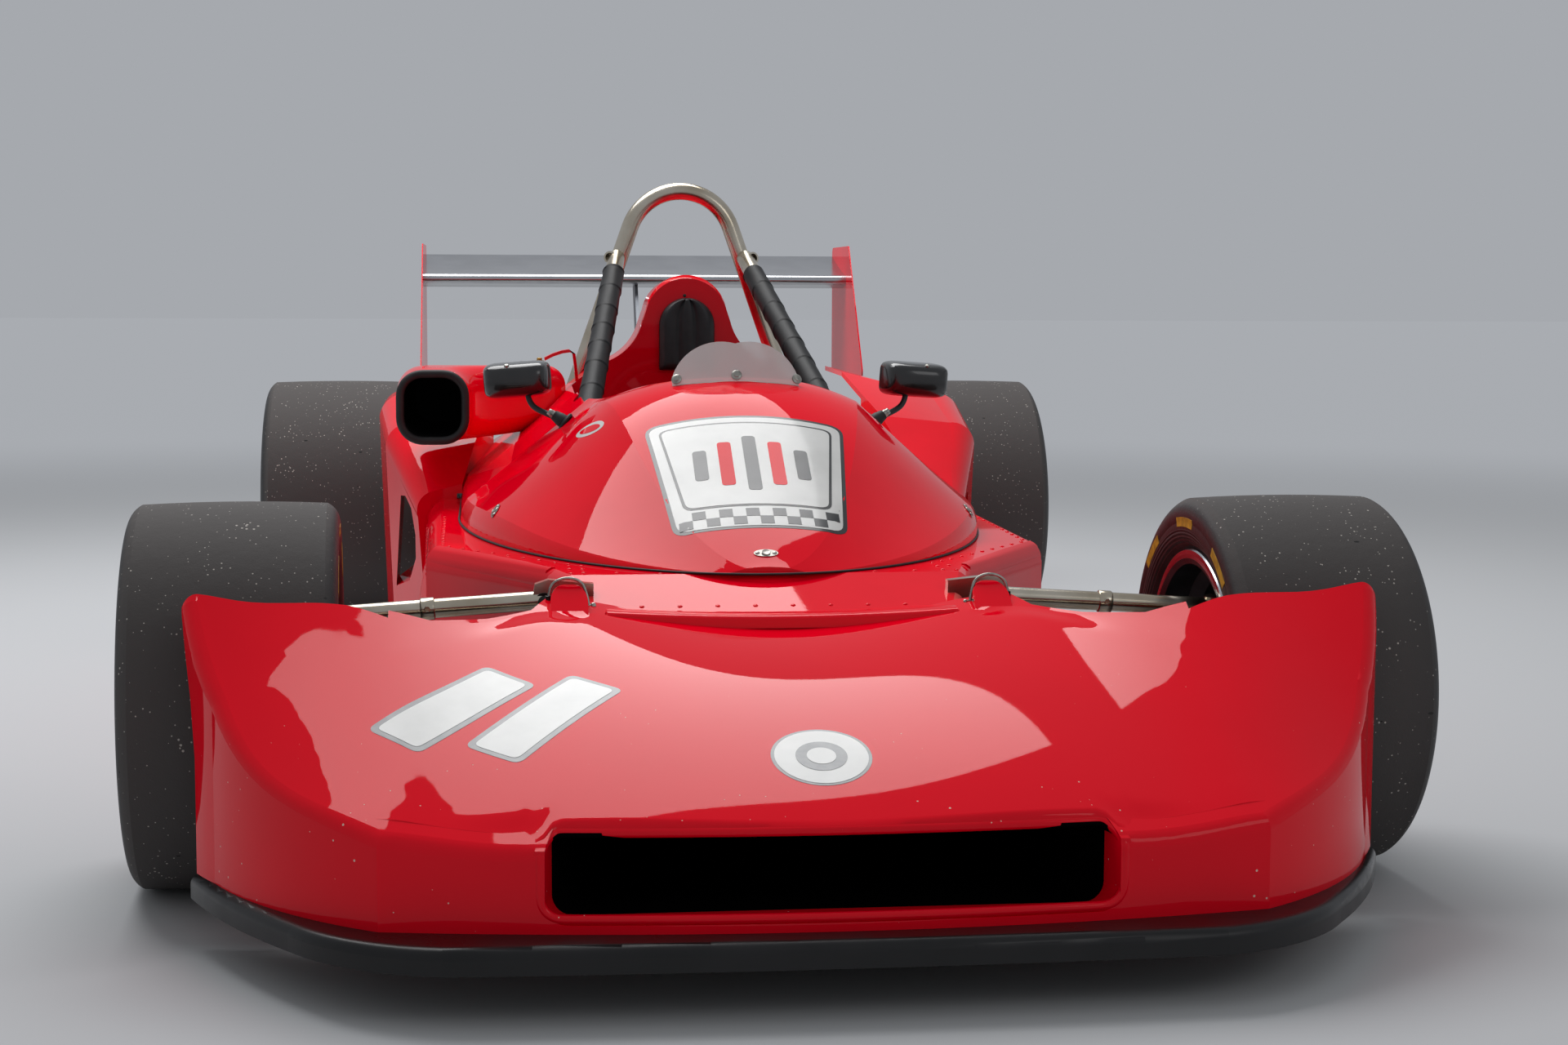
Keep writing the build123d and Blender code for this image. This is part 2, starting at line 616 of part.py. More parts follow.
def hoop_padding():
    """Taped foam sleeves round the two braces."""
    ends = [tuple(brace_axis(distance)) for distance in PADDING_ENDS]
    return both(rod(*ends, PADDING_R) - rod(*ends, HOOP_TUBE_R + PADDING_GAP))


def dashboard():
    """The instrument panel under the dome's crown, with the column's bearing."""
    plate = panel_body(PANEL_SKIN, PANEL_REAR) & block((-400, DASH_Y, 452), (400, DASH_Y + DASH_THICK, 700))
    slope = Vector(*COLUMN_TOP) - Vector(*COLUMN_LOW)
    unit = slope.normalized()
    middle = Vector(*COLUMN_LOW) + slope * ((DASH_Y + DASH_THICK / 2 - COLUMN_LOW[1]) / slope.Y)
    boss = rod(tuple(middle - unit * 14), tuple(middle + unit * 14), 24)
    return plate + boss - rod(tuple(middle - unit * 60), tuple(middle + unit * 60), COLUMN_R + RUNNING_FIT)


def steering_wheel():
    """The small three-spoked wheel on its long column."""
    unit = (Vector(*COLUMN_TOP) - Vector(*COLUMN_LOW)).normalized()
    plane = Plane(origin=COLUMN_TOP, x_dir=(1, 0, 0), z_dir=tuple(unit))
    rim_r = 125
    spoke = Pos((rim_r + 19) / 2, 0, 0) * Box(rim_r - 33, 24, 4)
    wheel = plane * Torus(rim_r, 12) + plane * Cylinder(32, 12) + rod(COLUMN_LOW, COLUMN_TOP, COLUMN_R)
    for angle in (90, 210, 330):
        wheel += plane * Rot(0, 0, angle + PARKED_STEER * STEERING_RATIO) * spoke
    return wheel


def seat():
    """The reclined seat shell with its thin padding."""
    profile = polygon([
        (860, 140), (1010, COCKPIT_FLOOR), (1120, COCKPIT_FLOOR), (1380, 400), (1440, 520), (1424, 528),
        (1362, 412), (1108, 101), (1012, 101), (866, 156),
    ])
    return prism_along_x(profile, -185, 185)


def rack_housing():
    """The steering rack's tube across the footbox, clamped to the front bulkhead."""
    near, far = RACK_BRACKET
    tube = rod((-far - 2, RACK_Y, RACK_Z), (far + 2, RACK_Y, RACK_Z), RACK_TUBE_R)
    feet = block((-far, RACK_Y - 7, RACK_Z - 40), (-near, RACK_Y + 12, RACK_Z))
    tube += feet + mirrored(feet)
    return tube - rod((-far - 12, RACK_Y, RACK_Z), (far + 12, RACK_Y, RACK_Z), RACK_R + RUNNING_FIT)


def steering_rack():
    """The sliding rack and the two track rods."""
    bar = rod((-RACK_HALF, RACK_Y, RACK_Z), (RACK_HALF, RACK_Y, RACK_Z), RACK_R)
    x, y, z = STEERING_ARM_END
    eye_z = z + (ARM_EYE_THICK + ROD_EYE_THICK) / 2 + ROD_END_GAP
    track_rod = rod((RACK_HALF - 30, RACK_Y, RACK_Z), (x, y, eye_z), 8)
    track_rod += Pos(x, y, eye_z) * Cylinder(ROD_EYE_R, ROD_EYE_THICK)
    return Pos(STEERING_ARM * sin(radians(PARKED_STEER)), 0, 0) * (bar + track_rod + mirrored(track_rod))


def parked(shape, side):
    """Turn a straight-ahead piece about its kingpin to where the parked wheel stands; side 1 is the left."""
    low = Vector(side * KINGPIN_LOW[0], KINGPIN_LOW[1], KINGPIN_LOW[2])
    top = Vector(side * KINGPIN_TOP[0], KINGPIN_TOP[1], KINGPIN_TOP[2])
    return shape.rotate(Axis(tuple(low), tuple(top - low)), PARKED_STEER)


def ball_stud(centre, towards):
    """A ball on its neck, the neck running towards the casting."""
    neck = (Vector(*towards) - Vector(*centre)).normalized() * 34
    return Pos(*centre) * Sphere(BALL_R) + rod(centre, tuple(Vector(*centre) + neck), BALL_NECK_R)


def ball_housing(centre, towards):
    """The socket round a ball stud, open where the neck leaves it."""
    unit = (Vector(*towards) - Vector(*centre)).normalized()
    low = tuple(Vector(*centre) - unit * 19)
    high = tuple(Vector(*centre) + unit * 15)
    housing = rod(low, high, BALL_HOUSING_R) - Pos(*centre) * Sphere(BALL_R + BALL_GAP)
    return housing - rod(centre, tuple(Vector(*centre) + unit * 40), BALL_NECK_R + BALL_GAP)


def caliper(disc_x, centre, reach_in):
    """A brake caliper behind the axle, its bridge over the disc and a lug to the upright."""
    x, y, z = centre
    gap = BRAKE_DISC_THICK / 2 + BRAKE_PAD_GAP
    body = block((disc_x - 30, y + 62, z - 42), (disc_x + 30, y + BRAKE_DISC_R + 12, z + 42))
    body -= rod((disc_x - gap, y, z), (disc_x + gap, y, z), BRAKE_DISC_R + 5)
    lug = block((reach_in, y + 30, z - 26), (disc_x - 29, y + 92, z + 26))
    return body + lug


def front_knuckle():
    """The left upright, wheels straight: casting, ball studs, spindle, steering arm and caliper."""
    hub_x = FRONT_TRACK / 2
    z = FRONT_WHEEL["tyre_r"]
    low = Vector(*KINGPIN_LOW)
    top = Vector(*KINGPIN_TOP)
    unit = (top - low).normalized()
    middle_x = KINGPIN_LOW[0] - 9
    casting = rod(tuple(low + unit * 30), tuple(top - unit * 30), 20)
    casting += ball_stud(KINGPIN_LOW, KINGPIN_TOP) + ball_stud(KINGPIN_TOP, KINGPIN_LOW)
    casting += rod((middle_x - 18, 0, z), (middle_x + 22, 0, z), 44)
    casting += rod((middle_x, 0, z), (hub_x + 62, 0, z), SPINDLE_R)
    casting += rod((middle_x - 4, 0, 306), STEERING_ARM_END, 10)
    casting += Pos(*STEERING_ARM_END) * Cylinder(ROD_EYE_R, ARM_EYE_THICK)
    return casting + caliper(hub_x - FRONT_DISC_INBOARD, (hub_x, 0, z), middle_x - 14)


def rim(size, side_web, bore_r):
    """A road wheel rim, axis along X with +X outboard: barrel with flanges, pierced disc and hub."""
    edge = size["rim"]
    flange = size["flange"]
    bead = flange - FLANGE_HEIGHT
    well = bead - 16
    outboard = [
        (edge - 55, well), (edge - 40, bead - 2), (edge - 9, bead), (edge - 7, flange),
        (edge - 2, flange), (edge, flange - 2), (edge, flange - 8), (edge - 3, bead - RIM_WALL),
        (edge - 38, bead - RIM_WALL - 2), (edge - 53, well - RIM_WALL),
    ]
    barrel = turned(outboard + [(-offset, radius) for offset, radius in reversed(outboard)])
    disc = turned([
        (side_web - 6, bore_r), (side_web + 26, bore_r), (side_web + 26, 38), (side_web + 8, 62),
        (side_web + 2, well - 3), (side_web - 6, well - 3), (side_web - 2, 62), (side_web - 6, 50),
    ])
    hole = Pos(side_web, 0, (62 + well) / 2 + 2) * Rot(0, 90, 0) * Cylinder(22, 60)
    for step in range(8):
        disc -= Rot(45 * step, 0, 0) * hole
    return barrel + disc


def tyre(size):
    """A slick tyre on its rim, axis along X."""
    r = size["tyre_r"]
    bead_r = size["flange"] - FLANGE_HEIGHT
    inner = size["rim"] - 9
    flange = size["flange"]
    tread = size["tread"]
    bulge = size["bulge"]
    wall_z = (r + flange) / 2
    section = Line((-inner, bead_r), (inner, bead_r)) + ThreePointArc((tread, r - 3), (0, r), (-tread, r - 3))
    for side in (1, -1):
        seat = (side * (inner + 1.8), flange + 0.3)
        section += Line((side * inner, bead_r), seat)
        section += ThreePointArc(seat, (side * (bulge - 4), flange + 12), (side * bulge, wall_z))
        shoulder = (side * (bulge - 4), wall_z + (r - wall_z) * 0.65)
        section += ThreePointArc((side * bulge, wall_z), shoulder, (side * tread, r - 3))
    return revolve(make_face(section), Axis.X)


def front_hub():
    """The hub sleeve and brake disc that turn with a front wheel, axis along X."""
    start = -FRONT_DISC_INBOARD - 14
    bore = SPINDLE_R + RUNNING_FIT
    sleeve = turned([(start, bore), (49, bore), (49, 34), (34, 50), (start, 50)])
    half = BRAKE_DISC_THICK / 2
    near = -FRONT_DISC_INBOARD - half
    far = -FRONT_DISC_INBOARD + half
    return sleeve + turned([(near, 50), (far, 50), (far, BRAKE_DISC_R), (near, BRAKE_DISC_R)])


# Where the front links meet the tub, and the top arm's bracket as (half width, height)
ARM_PIVOT = (300.0, 0.0, 374.0)
ARM_BRACE_FOOT = (270.0, 240.0, 352.0)
ARM_BRACKET = (
    (240.0, 325.0), (300.0, 345.0), (322.0, 372.0), (318.0, 396.0), (300.0, 402.0), (240.0, 396.0),
)
ARM_BRACKET_THICK = 18.0
WISHBONE_FRONT = (190.0, -78.0, 140.0)
WISHBONE_REAR = (230.0, 280.0, 140.0)
WISHBONE_R = 11.0


def front_suspension():
    """The left front links: top rocking arm with its bracket, and the wide lower wishbone."""
    tub = tub_outer()
    x, y, z = KINGPIN_TOP
    arm = rod(ARM_PIVOT, (x - 20, y, z + 2), 13)
    arm += prism_along_y(polygon(ARM_BRACKET), -ARM_BRACKET_THICK / 2, ARM_BRACKET_THICK / 2) - tub
    arm += rod(ARM_BRACE_FOOT, (x - 60, y, z + 4), 9) - tub
    arm += ball_housing(KINGPIN_TOP, KINGPIN_LOW)
    arm -= Pos(x, y, z) * Sphere(BALL_R + BALL_GAP)
    x, y, z = KINGPIN_LOW
    bone = rod(WISHBONE_FRONT, (x - 18, y, z - 4), WISHBONE_R) - tub
    bone += rod(WISHBONE_REAR, (x - 60, y, z - 5), WISHBONE_R) - tub
    bone += ball_housing(KINGPIN_LOW, KINGPIN_TOP)
    bone -= Pos(x, y, z) * Sphere(BALL_R + BALL_GAP)
    return group(arm, bone)


# The four cylinders' stations along the block, and the exhaust's line
CYLINDER_Y = tuple(TUB_REAR + 90.0 + 102.0 * step for step in range(4))
BLOCK_TOP = 400.0
HEAD_TOP = 506.0
EXHAUST_X = 190.0
EXHAUST_Z = 436.0
TAIL_PIPE = (
    (EXHAUST_X, ENGINE_REAR + 40.0, EXHAUST_Z),
    (125.0, ENGINE_REAR + 210.0, EXHAUST_Z),
    (125.0, WHEELBASE + 440.0, EXHAUST_Z + 12.0),
)
TAIL_PIPE_R = 26.0
TAIL_PIPE_WALL = 3.0


def engine():
    """The four-cylinder engine: ribbed block, head, cam covers, inlet trumpets and four-branch exhaust."""
    body = block((-105, TUB_REAR, 90), (105, ENGINE_REAR, BLOCK_TOP))
    body += block((-92, TUB_REAR + 20, BLOCK_TOP), (92, ENGINE_REAR - 40, HEAD_TOP))
    for side in (-52, 52):
        cover = Pos(side, HEAD_TOP) * RectangleRounded(66, 56, 20)
        body += prism_along_y(cover, TUB_REAR + 26, ENGINE_REAR - 46)
    for y in CYLINDER_Y:
        body += block((-111, y - 8, 120), (111, y + 8, BLOCK_TOP - 20))
        body += rod((-80, y, 470), (-176, y, 486), 22)
        trumpet = Plane(origin=(-176, y, 486), z_dir=(-96, 0, 16)) * Pos(0, 0, 18) * Cone(22, 36, 36)
        bore = rod((-160, y, 483.4), (-240, y, 496.7), 19)
        body = body + trumpet - bore
        body += rod((85, y, 452), (EXHAUST_X, y + 26, EXHAUST_Z), 17)
    body += rod((EXHAUST_X, CYLINDER_Y[0] + 20, EXHAUST_Z), TAIL_PIPE[0], 20)
    for start, end in zip(TAIL_PIPE, TAIL_PIPE[1:]):
        body += Pos(*start) * Sphere(TAIL_PIPE_R) + rod(start, end, TAIL_PIPE_R)
    beyond = Vector(*TAIL_PIPE[2]) + Vector(0, 20, 0.5)
    return body - rod(TAIL_PIPE[1], tuple(beyond), TAIL_PIPE_R - TAIL_PIPE_WALL)


# The damper's lower eye on the upright and its upper eye on the bridge over the gearbox
DAMPER_LOW = (UPRIGHT_IN - 2.0, WHEELBASE + 105.0, 205.0)
DAMPER_TOP = (196.0, WHEELBASE + 105.0, 486.0)
DAMPER_R = 14.0
SPRING_R = 31.0
SPRING_WIRE = 9.0
SPRING_COILS = 9
SPRING_ENDS = (0.38, 0.88)  # shares of the damper's length
GEARBOX_Z = 250.0
GEARBOX_R = 105.0
BELL_R = 150.0
BELL_REAR = ENGINE_REAR + 140.0
CASE_REAR = WHEELBASE + 260.0
TAIL_REAR = WHEELBASE + 460.0


def damper():
    """The left rear damper with its coil spring, eye to eye."""
    low = Vector(*DAMPER_LOW)
    top = Vector(*DAMPER_TOP)
    length = (top - low).length
    foot, head = [length * share for share in SPRING_ENDS]
    pitch = (head - foot) / SPRING_COILS
    root = SPRING_R - SPRING_WIRE * 0.8
    points = [(0, foot)]
    for coil in range(SPRING_COILS):
        z = foot + coil * pitch
        points += [(root, z), (SPRING_R, z + pitch * 0.25)]
        points += [(SPRING_R, z + pitch * 0.6), (root, z + pitch * 0.85)]
    points += [(root, head), (0, head)]
    spring = revolve(Plane.XZ * polygon(points), Axis.Z)
    body = Pos(0, 0, length / 2) * Cylinder(DAMPER_R, length - 10) + spring
    body += Pos(0, 0, foot - 3) * Cylinder(SPRING_R + 4, 8) + Pos(0, 0, head + 2) * Cylinder(SPRING_R + 3, 7)
    body += Rot(90, 0, 0) * Cylinder(17, 24) + Pos(0, 0, length) * Rot(90, 0, 0) * Cylinder(17, 24)
    place = Plane(origin=tuple(low), x_dir=(0, 1, 0), z_dir=tuple(top - low))
    return place * Rot(0, 0, 90) * body


def gearbox():
    """The gearbox and final drive: bellhousing, ribbed case, link beams, damper bridge, and a tail for the
    wing post and the tow eye."""
    centre = Pos(0, GEARBOX_Z)
    ends = [across(ENGINE_REAR) * centre * Circle(BELL_R), across(BELL_REAR) * centre * Circle(GEARBOX_R)]
    case = loft(ends, ruled=True) + prism_along_y(centre * Circle(GEARBOX_R), BELL_REAR, CASE_REAR)
    for y in (WHEELBASE + 96, CASE_REAR - 8):
        case += prism_along_y(centre * Circle(GEARBOX_R + 7), y, y + 14)
    case += prism_along_y(centre * Circle(GEARBOX_R - 17), CASE_REAR, CASE_REAR + 62)
    cheek_x = SHAFT_IN - 0.5
    axle_z = REAR_WHEEL["tyre_r"]
    cheeks = rod((-cheek_x, WHEELBASE, axle_z), (cheek_x, WHEELBASE, axle_z), 78)
    beams = block((-95, WHEELBASE - 85, 158), (95, WHEELBASE - 60, 190))
    beams += block((-95, WHEELBASE + 120, 158), (95, WHEELBASE + 145, 190))
    beams += block((-95, WHEELBASE + 60, 330), (95, WHEELBASE + 90, 362))
    top_x, top_y, top_z = DAMPER_TOP
    bridge = block((-top_x - 14, top_y - 12.5, top_z - 10), (top_x + 14, top_y + 12.5, top_z + 20))
    bridge += both(block((52, top_y - 12, 320), (66, top_y + 12, top_z)))
    tail = block((-30, CASE_REAR + 50, GEARBOX_Z - 35), (30, TAIL_REAR, GEARBOX_Z + 35))
    eye = rod((-31, TAIL_REAR - 30, GEARBOX_Z), (31, TAIL_REAR - 30, GEARBOX_Z), TOW_EYE_R)
    pipe = rod(TAIL_PIPE[0], TAIL_PIPE[1], TAIL_PIPE_R + 1) + rod(TAIL_PIPE[1], TAIL_PIPE[2], TAIL_PIPE_R + 1)
    return case + cheeks + beams + (bridge - both(damper_seat()) - both(pipe)) + tail - eye


def damper_seat():
    """The room the damper's upper eye takes out of the bridge, with a small gap."""
    x, y, z = DAMPER_TOP
    return block((x - 26, y - 30, z - 60), (x + 40, y + 30, z + 9))


def half_shaft():
    """The left drive shaft with its joints, hub and brake disc, turning with the rear wheel."""
    z = REAR_WHEEL["tyre_r"]
    hub_x = REAR_TRACK / 2
    disc_x = hub_x - REAR_DISC_INBOARD
    half = BRAKE_DISC_THICK / 2
    shaft = rod((SHAFT_IN, WHEELBASE, z), (UPRIGHT_IN - 20, WHEELBASE, z), 14)
    shaft += rod((SHAFT_IN, WHEELBASE, z), (SHAFT_IN + 66, WHEELBASE, z), 46)
    shaft += rod((UPRIGHT_IN - 78, WHEELBASE, z), (UPRIGHT_IN - 8, WHEELBASE, z), 46)
    shaft += rod((UPRIGHT_IN - 10, WHEELBASE, z), (hub_x + 60, WHEELBASE, z), REAR_HUB_R)
    shaft += rod((disc_x - half, WHEELBASE, z), (disc_x + half, WHEELBASE, z), BRAKE_DISC_R)
    return shaft


# Inner ends of the rear links: half width, station, height
TOP_LINK_IN = (60.0, WHEELBASE + 75.0, 346.0)
LOW_LINKS_IN = ((60.0, WHEELBASE - 73.0, 174.0), (60.0, WHEELBASE + 133.0, 174.0))
RADIUS_ROD_X = 440.0
RADIUS_ROD_Z = (330.0, 150.0)
LINK_R = 10.0


def rear_suspension():
    """The left rear upright with its caliper, the cross links and the two radius rods."""
    z = REAR_WHEEL["tyre_r"]
    hub_x = REAR_TRACK / 2
    x = UPRIGHT_IN
    y = WHEELBASE
    upright = block((x, y - 45, z - 130), (x + UPRIGHT_THICK, y + 45, z + 120))
    upright += caliper(hub_x - REAR_DISC_INBOARD, (hub_x, y, z), x + 20)
    upright -= rod((x - 5, y, z), (x + 80, y, z), REAR_HUB_R + RUNNING_FIT)
    case = gearbox()
    tub = tub_outer()
    upright += rod((x + 4, y + 24, z + 108), TOP_LINK_IN, LINK_R) - case
    for step, inner in zip((-30, 30), LOW_LINKS_IN):
        upright += rod((x + 4, y + step, z - 118), inner, LINK_R) - case
    for step, rod_z in zip((100, -100), RADIUS_ROD_Z):
        upright += rod((x + 6, y - 36, z + step), (RADIUS_ROD_X, TUB_REAR - 12, rod_z), LINK_R - 1) - tub
    upright += rod((x + 4, y + 40, DAMPER_LOW[2]), (x + 4, DAMPER_LOW[1] + 14, DAMPER_LOW[2]), LINK_R)
    upright += damper() - case
    return upright


def wing_section():
    """The deeply cambered wing section, its leading edge at the origin and its chord along local x."""
    nose = -WING_NOSE
    upper = ThreePointArc((0, 0), (WING_CHORD * 0.45, -3), (WING_CHORD, WING_TAIL))
    lower = ThreePointArc((WING_CHORD, 0), (WING_CHORD * 0.42, -WING_DEPTH), (6, nose))
    edge = ThreePointArc((6, nose), (-WING_NOSE * 0.42, nose * 0.45), (0, 0))
    return make_face(upper + Line((WING_CHORD, WING_TAIL), (WING_CHORD, 0)) + lower + edge)


def rear_wing():
    """The polished wing plane between the two endplates."""
    place = Pos(WING_LEAD_Y, WING_LEAD_Z) * Rot(0, 0, WING_ANGLE)
    return extrude(along(-WING_SPAN_HALF) * place * wing_section(), amount=2 * WING_SPAN_HALF)


def wing_endplates():
    """The two red endplates."""
    (front, rear), (low, high) = ENDPLATE_Y, ENDPLATE_Z
    face = polygon([(front, high), (rear, high), (rear, low), (ENDPLATE_FOOT_Y, low)])
    face = fillet(face.vertices(), ENDPLATE_CORNER_R)
    plate = prism_along_x(face, WING_SPAN_HALF, WING_SPAN_HALF + ENDPLATE_THICK)
    return both(plate)


# The wing post's side profile: station behind the rear axle, height
WING_POST = ((330.0, GEARBOX_Z + 35.0), (450.0, GEARBOX_Z + 35.0), (860.0, 842.0), (740.0, 812.0))
WING_POST_THICK = 8.0


def wing_post():
    """The pylon between the gearbox tail and the wing."""
    face = polygon([(WHEELBASE + y, z) for y, z in WING_POST])
    return prism_along_x(face, -WING_POST_THICK / 2, WING_POST_THICK / 2) - rear_wing()


# Sidepod stations: station, inner top corner, outer top corner, outer half width, bottom height
POD_STATIONS = (
    (1300.0, (430.0, 428.0), (492.0, 412.0), 512.0, 150.0),
    (1540.0, (392.0, 540.0), (530.0, 526.0), 580.0, 118.0),
    (1820.0, (352.0, 618.0), (540.0, 572.0), 604.0, 104.0),
    (2080.0, (352.0, 622.0), (548.0, 570.0), 610.0, 96.0),
)
POD_FOOT = 440.0
# The pod's hollow behind the tub, where the radius rods pass, in the same columns
POD_CAVITY = (
    (TUB_REAR, (346.0, 572.0), (527.0, 540.0), 585.0, 60.0),
    (1820.0, (346.0, 610.0), (534.0, 563.0), 597.0, 60.0),
    (2090.0, (346.0, 614.0), (542.0, 561.0), 603.0, 60.0),
)
INLET_OUTLINE = (
    (548.0, 396.0), (538.0, 398.0), (526.0, 378.0), (518.0, 330.0),
    (518.0, 285.0), (532.0, 236.0), (561.0, 214.0),
)
INLET_END = 1850.0


def pod_section(y, inner, corner, outer, low):
    """One section of the pod: sloping top, round outer shoulder and a side that leans in to its foot."""
    shoulder = (outer, corner[1] - 46)
    bend = (corner[0] + 0.72 * (outer - corner[0]), corner[1] - 12)
    right = Polyline(inner, corner) + ThreePointArc(corner, bend, shoulder)
    foot = Polyline(shoulder, (outer - 14, low + 20), (outer - 34, low), (POD_FOOT, low), (POD_FOOT, 410),
                    (inner[0], 410), inner)
    return across(y) * make_face(right + foot)


def sidepod():
    """The left pod: it grows out of the tub's side to fair the rear tyre, with a tall blade-shaped inlet."""
    pod = loft([pod_section(*row) for row in POD_STATIONS], ruled=True) - tub_outer() - cover_body(0.0)
    pod -= loft([pod_section(*row) for row in POD_CAVITY], ruled=True)
    return pod - prism_along_y(polygon(INLET_OUTLINE), POD_STATIONS[0][0], INLET_END)


# Intake trunk stations: station, middle (half width, height), width, height, corner radius
TRUNK_STATIONS = (
    (1100.0, (478.0, 579.0), 126.0, 130.0, 44.0),
    (1200.0, (472.0, 581.0), 144.0, 134.0, 46.0),
    (1330.0, (432.0, 581.0), 226.0, 128.0, 44.0),
    (1470.0, (384.0, 584.0), 300.0, 116.0, 40.0),
)
TRUNK_BORE = (
    (1090.0, (478.0, 579.0), 110.0, 114.0, 36.0),
    (1200.0, (472.0, 581.0), 124.0, 116.0, 36.0),
    (1330.0, (432.0, 581.0), 200.0, 106.0, 34.0),
    (1440.0, (394.0, 584.0), 240.0, 88.0, 30.0),
)


def trunk_body(rows):
    """A smooth tube through rounded sections on the driver's right."""
    sections = []
    for y, (half, z), wide, tall, corner in rows:
        sections.append(across(y) * Pos(-half, z) * RectangleRounded(wide, tall, corner))
    return loft(sections)


def intake_trunk():
    """The air trunk beside the driver's right shoulder: a round-cornered mouth, wider inwards behind it."""
    return trunk_body(TRUNK_STATIONS) - trunk_body(TRUNK_BORE) - cover_body(0.0) - mirrored(sidepod())


MIRROR_AT = (334.0, 805.0, 638.0)
MIRROR_HEAD = (108.0, 62.0, 54.0)
MIRROR_FOOT = (261.0, 762.0, 574.0)
MIRROR_STALK_R = 5.5
BOOT_FOOT = (255.0, 761.0, 556.0)


def mirrors():
    """Two rounded mirror heads on bent stalks with rubber boots at their feet."""
    x, y, z = MIRROR_AT
    wide, deep, tall = MIRROR_HEAD
    head = Pos(x, y, z) * Rot(0, 4, 6) * loft([
        Pos(0, -deep / 2, 0) * Rot(90, 0, 0) * RectangleRounded(wide - 22, tall - 18, 12),
        Pos(0, -deep / 6, 0) * Rot(90, 0, 0) * RectangleRounded(wide - 4, tall - 3, 15),
        Pos(0, deep / 2, 0) * Rot(90, 0, 0) * RectangleRounded(wide, tall, 15),
    ], ruled=True)
    bend = (x - 28, y - 18, z - 46)
    knee = (x - 18, y - 10, z - 22)
    stalk = rod(MIRROR_FOOT, bend, MIRROR_STALK_R) + rod(bend, knee, MIRROR_STALK_R)
    for joint in (bend, knee):
        stalk += Pos(*joint) * Sphere(MIRROR_STALK_R)
    boot = Plane(origin=BOOT_FOOT, z_dir=(6, 1, 22)) * Cone(15, 9, 36)
    return both(head + stalk + (boot - panel_body(0.0, PANEL_REAR)))


def build():
    """Build every node and write it."""
    hub_x = FRONT_TRACK / 2
    front_place = Pos(hub_x, 0, FRONT_WHEEL["tyre_r"])
    rear_place = Pos(REAR_TRACK / 2, WHEELBASE, REAR_WHEEL["tyre_r"])
    write("monocoque", monocoque())
    write("nose_cone", nose_cone())
    write("front_splitter", front_splitter())
    write("radiator", radiator())
    write("cockpit_panel", cockpit_panel())
    write("windscreen", windscreen())
    write("dashboard", dashboard())
    write("seat", seat())
    write("roll_hoop", roll_hoop())
    write("hoop_padding", hoop_padding())
    write("rear_cover", rear_cover())
    write("headrest_pad", headrest_pad())
    write("sidepod_left", sidepod())
    write("sidepod_right", mirrored(sidepod()))
    write("intake_trunk", intake_trunk())
    write("engine", engine())
    write("gearbox", gearbox())
    write("front_suspension_left", front_suspension())
    write("front_suspension_right", mirrored(front_suspension()))
    write("rear_suspension_left", rear_suspension())
    write("rear_suspension_right", mirrored(rear_suspension()))
    write("rear_wing", rear_wing())
    write("wing_endplates", wing_endplates())
    write("wing_post", wing_post())
    write("mirrors", mirrors())
    write("rack_housing", rack_housing())
    write("steering_rack", steering_rack())
    write("steering_wheel", steering_wheel())
    steered = {
        "front_knuckle": front_knuckle(),
        "front_rim": front_place * rim(FRONT_WHEEL, 55.0, 34.0),
        "front_tyre": front_place * tyre(FRONT_WHEEL),
        "front_hub": front_place * front_hub(),
    }
    for name, piece in steered.items():
        write(f"{name}_left", parked(piece, 1))
        write(f"{name}_right", parked(mirrored(piece), -1))
    driven = {
        "rear_rim": rear_place * rim(REAR_WHEEL, 40.0, REAR_HUB_R),
        "rear_tyre": rear_place * tyre(REAR_WHEEL),
        "half_shaft": half_shaft(),
    }
    for name, piece in driven.items():
        write(f"{name}_left", piece)
        write(f"{name}_right", mirrored(piece))


build()
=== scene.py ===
import math

import bmesh
import bpy
import numpy
from mathutils import Matrix, Vector
from mathutils.bvhtree import BVHTree


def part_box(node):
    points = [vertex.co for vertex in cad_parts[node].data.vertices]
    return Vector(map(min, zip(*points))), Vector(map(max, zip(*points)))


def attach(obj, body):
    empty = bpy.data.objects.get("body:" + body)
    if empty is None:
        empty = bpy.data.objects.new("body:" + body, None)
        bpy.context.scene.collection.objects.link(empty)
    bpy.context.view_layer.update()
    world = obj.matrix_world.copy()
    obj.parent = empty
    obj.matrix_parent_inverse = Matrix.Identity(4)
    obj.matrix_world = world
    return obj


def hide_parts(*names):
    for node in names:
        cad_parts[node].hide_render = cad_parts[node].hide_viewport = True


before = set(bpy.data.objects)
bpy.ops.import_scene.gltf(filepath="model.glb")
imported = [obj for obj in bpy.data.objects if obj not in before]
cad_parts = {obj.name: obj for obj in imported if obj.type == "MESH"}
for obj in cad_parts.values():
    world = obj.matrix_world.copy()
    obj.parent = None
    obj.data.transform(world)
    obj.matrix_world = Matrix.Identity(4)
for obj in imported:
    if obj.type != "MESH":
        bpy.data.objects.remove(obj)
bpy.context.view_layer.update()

# The tub: folded aluminium sheet, riveted into two full-length side boxes and a footbox, painted red.
# It carries everything else. Its rivets are closed domed ones, set in rows along each fold.
MM = 0.001
SIDEWAYS = Vector((1, 0, 0))
UP = Vector((0, 0, 1))
scene = bpy.context.scene


def middle(node):
    """The middle of a CAD node's box."""
    low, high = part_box(node)
    return (low + high) / 2


front_axle = (middle("front_hub_left").y + middle("front_hub_right").y) / 2


def at(x, station, height):
    """A place on the car: millimetres to the driver's left, behind the front axle and above the ground."""
    return Vector((x * MM, station * MM + front_axle, height * MM))


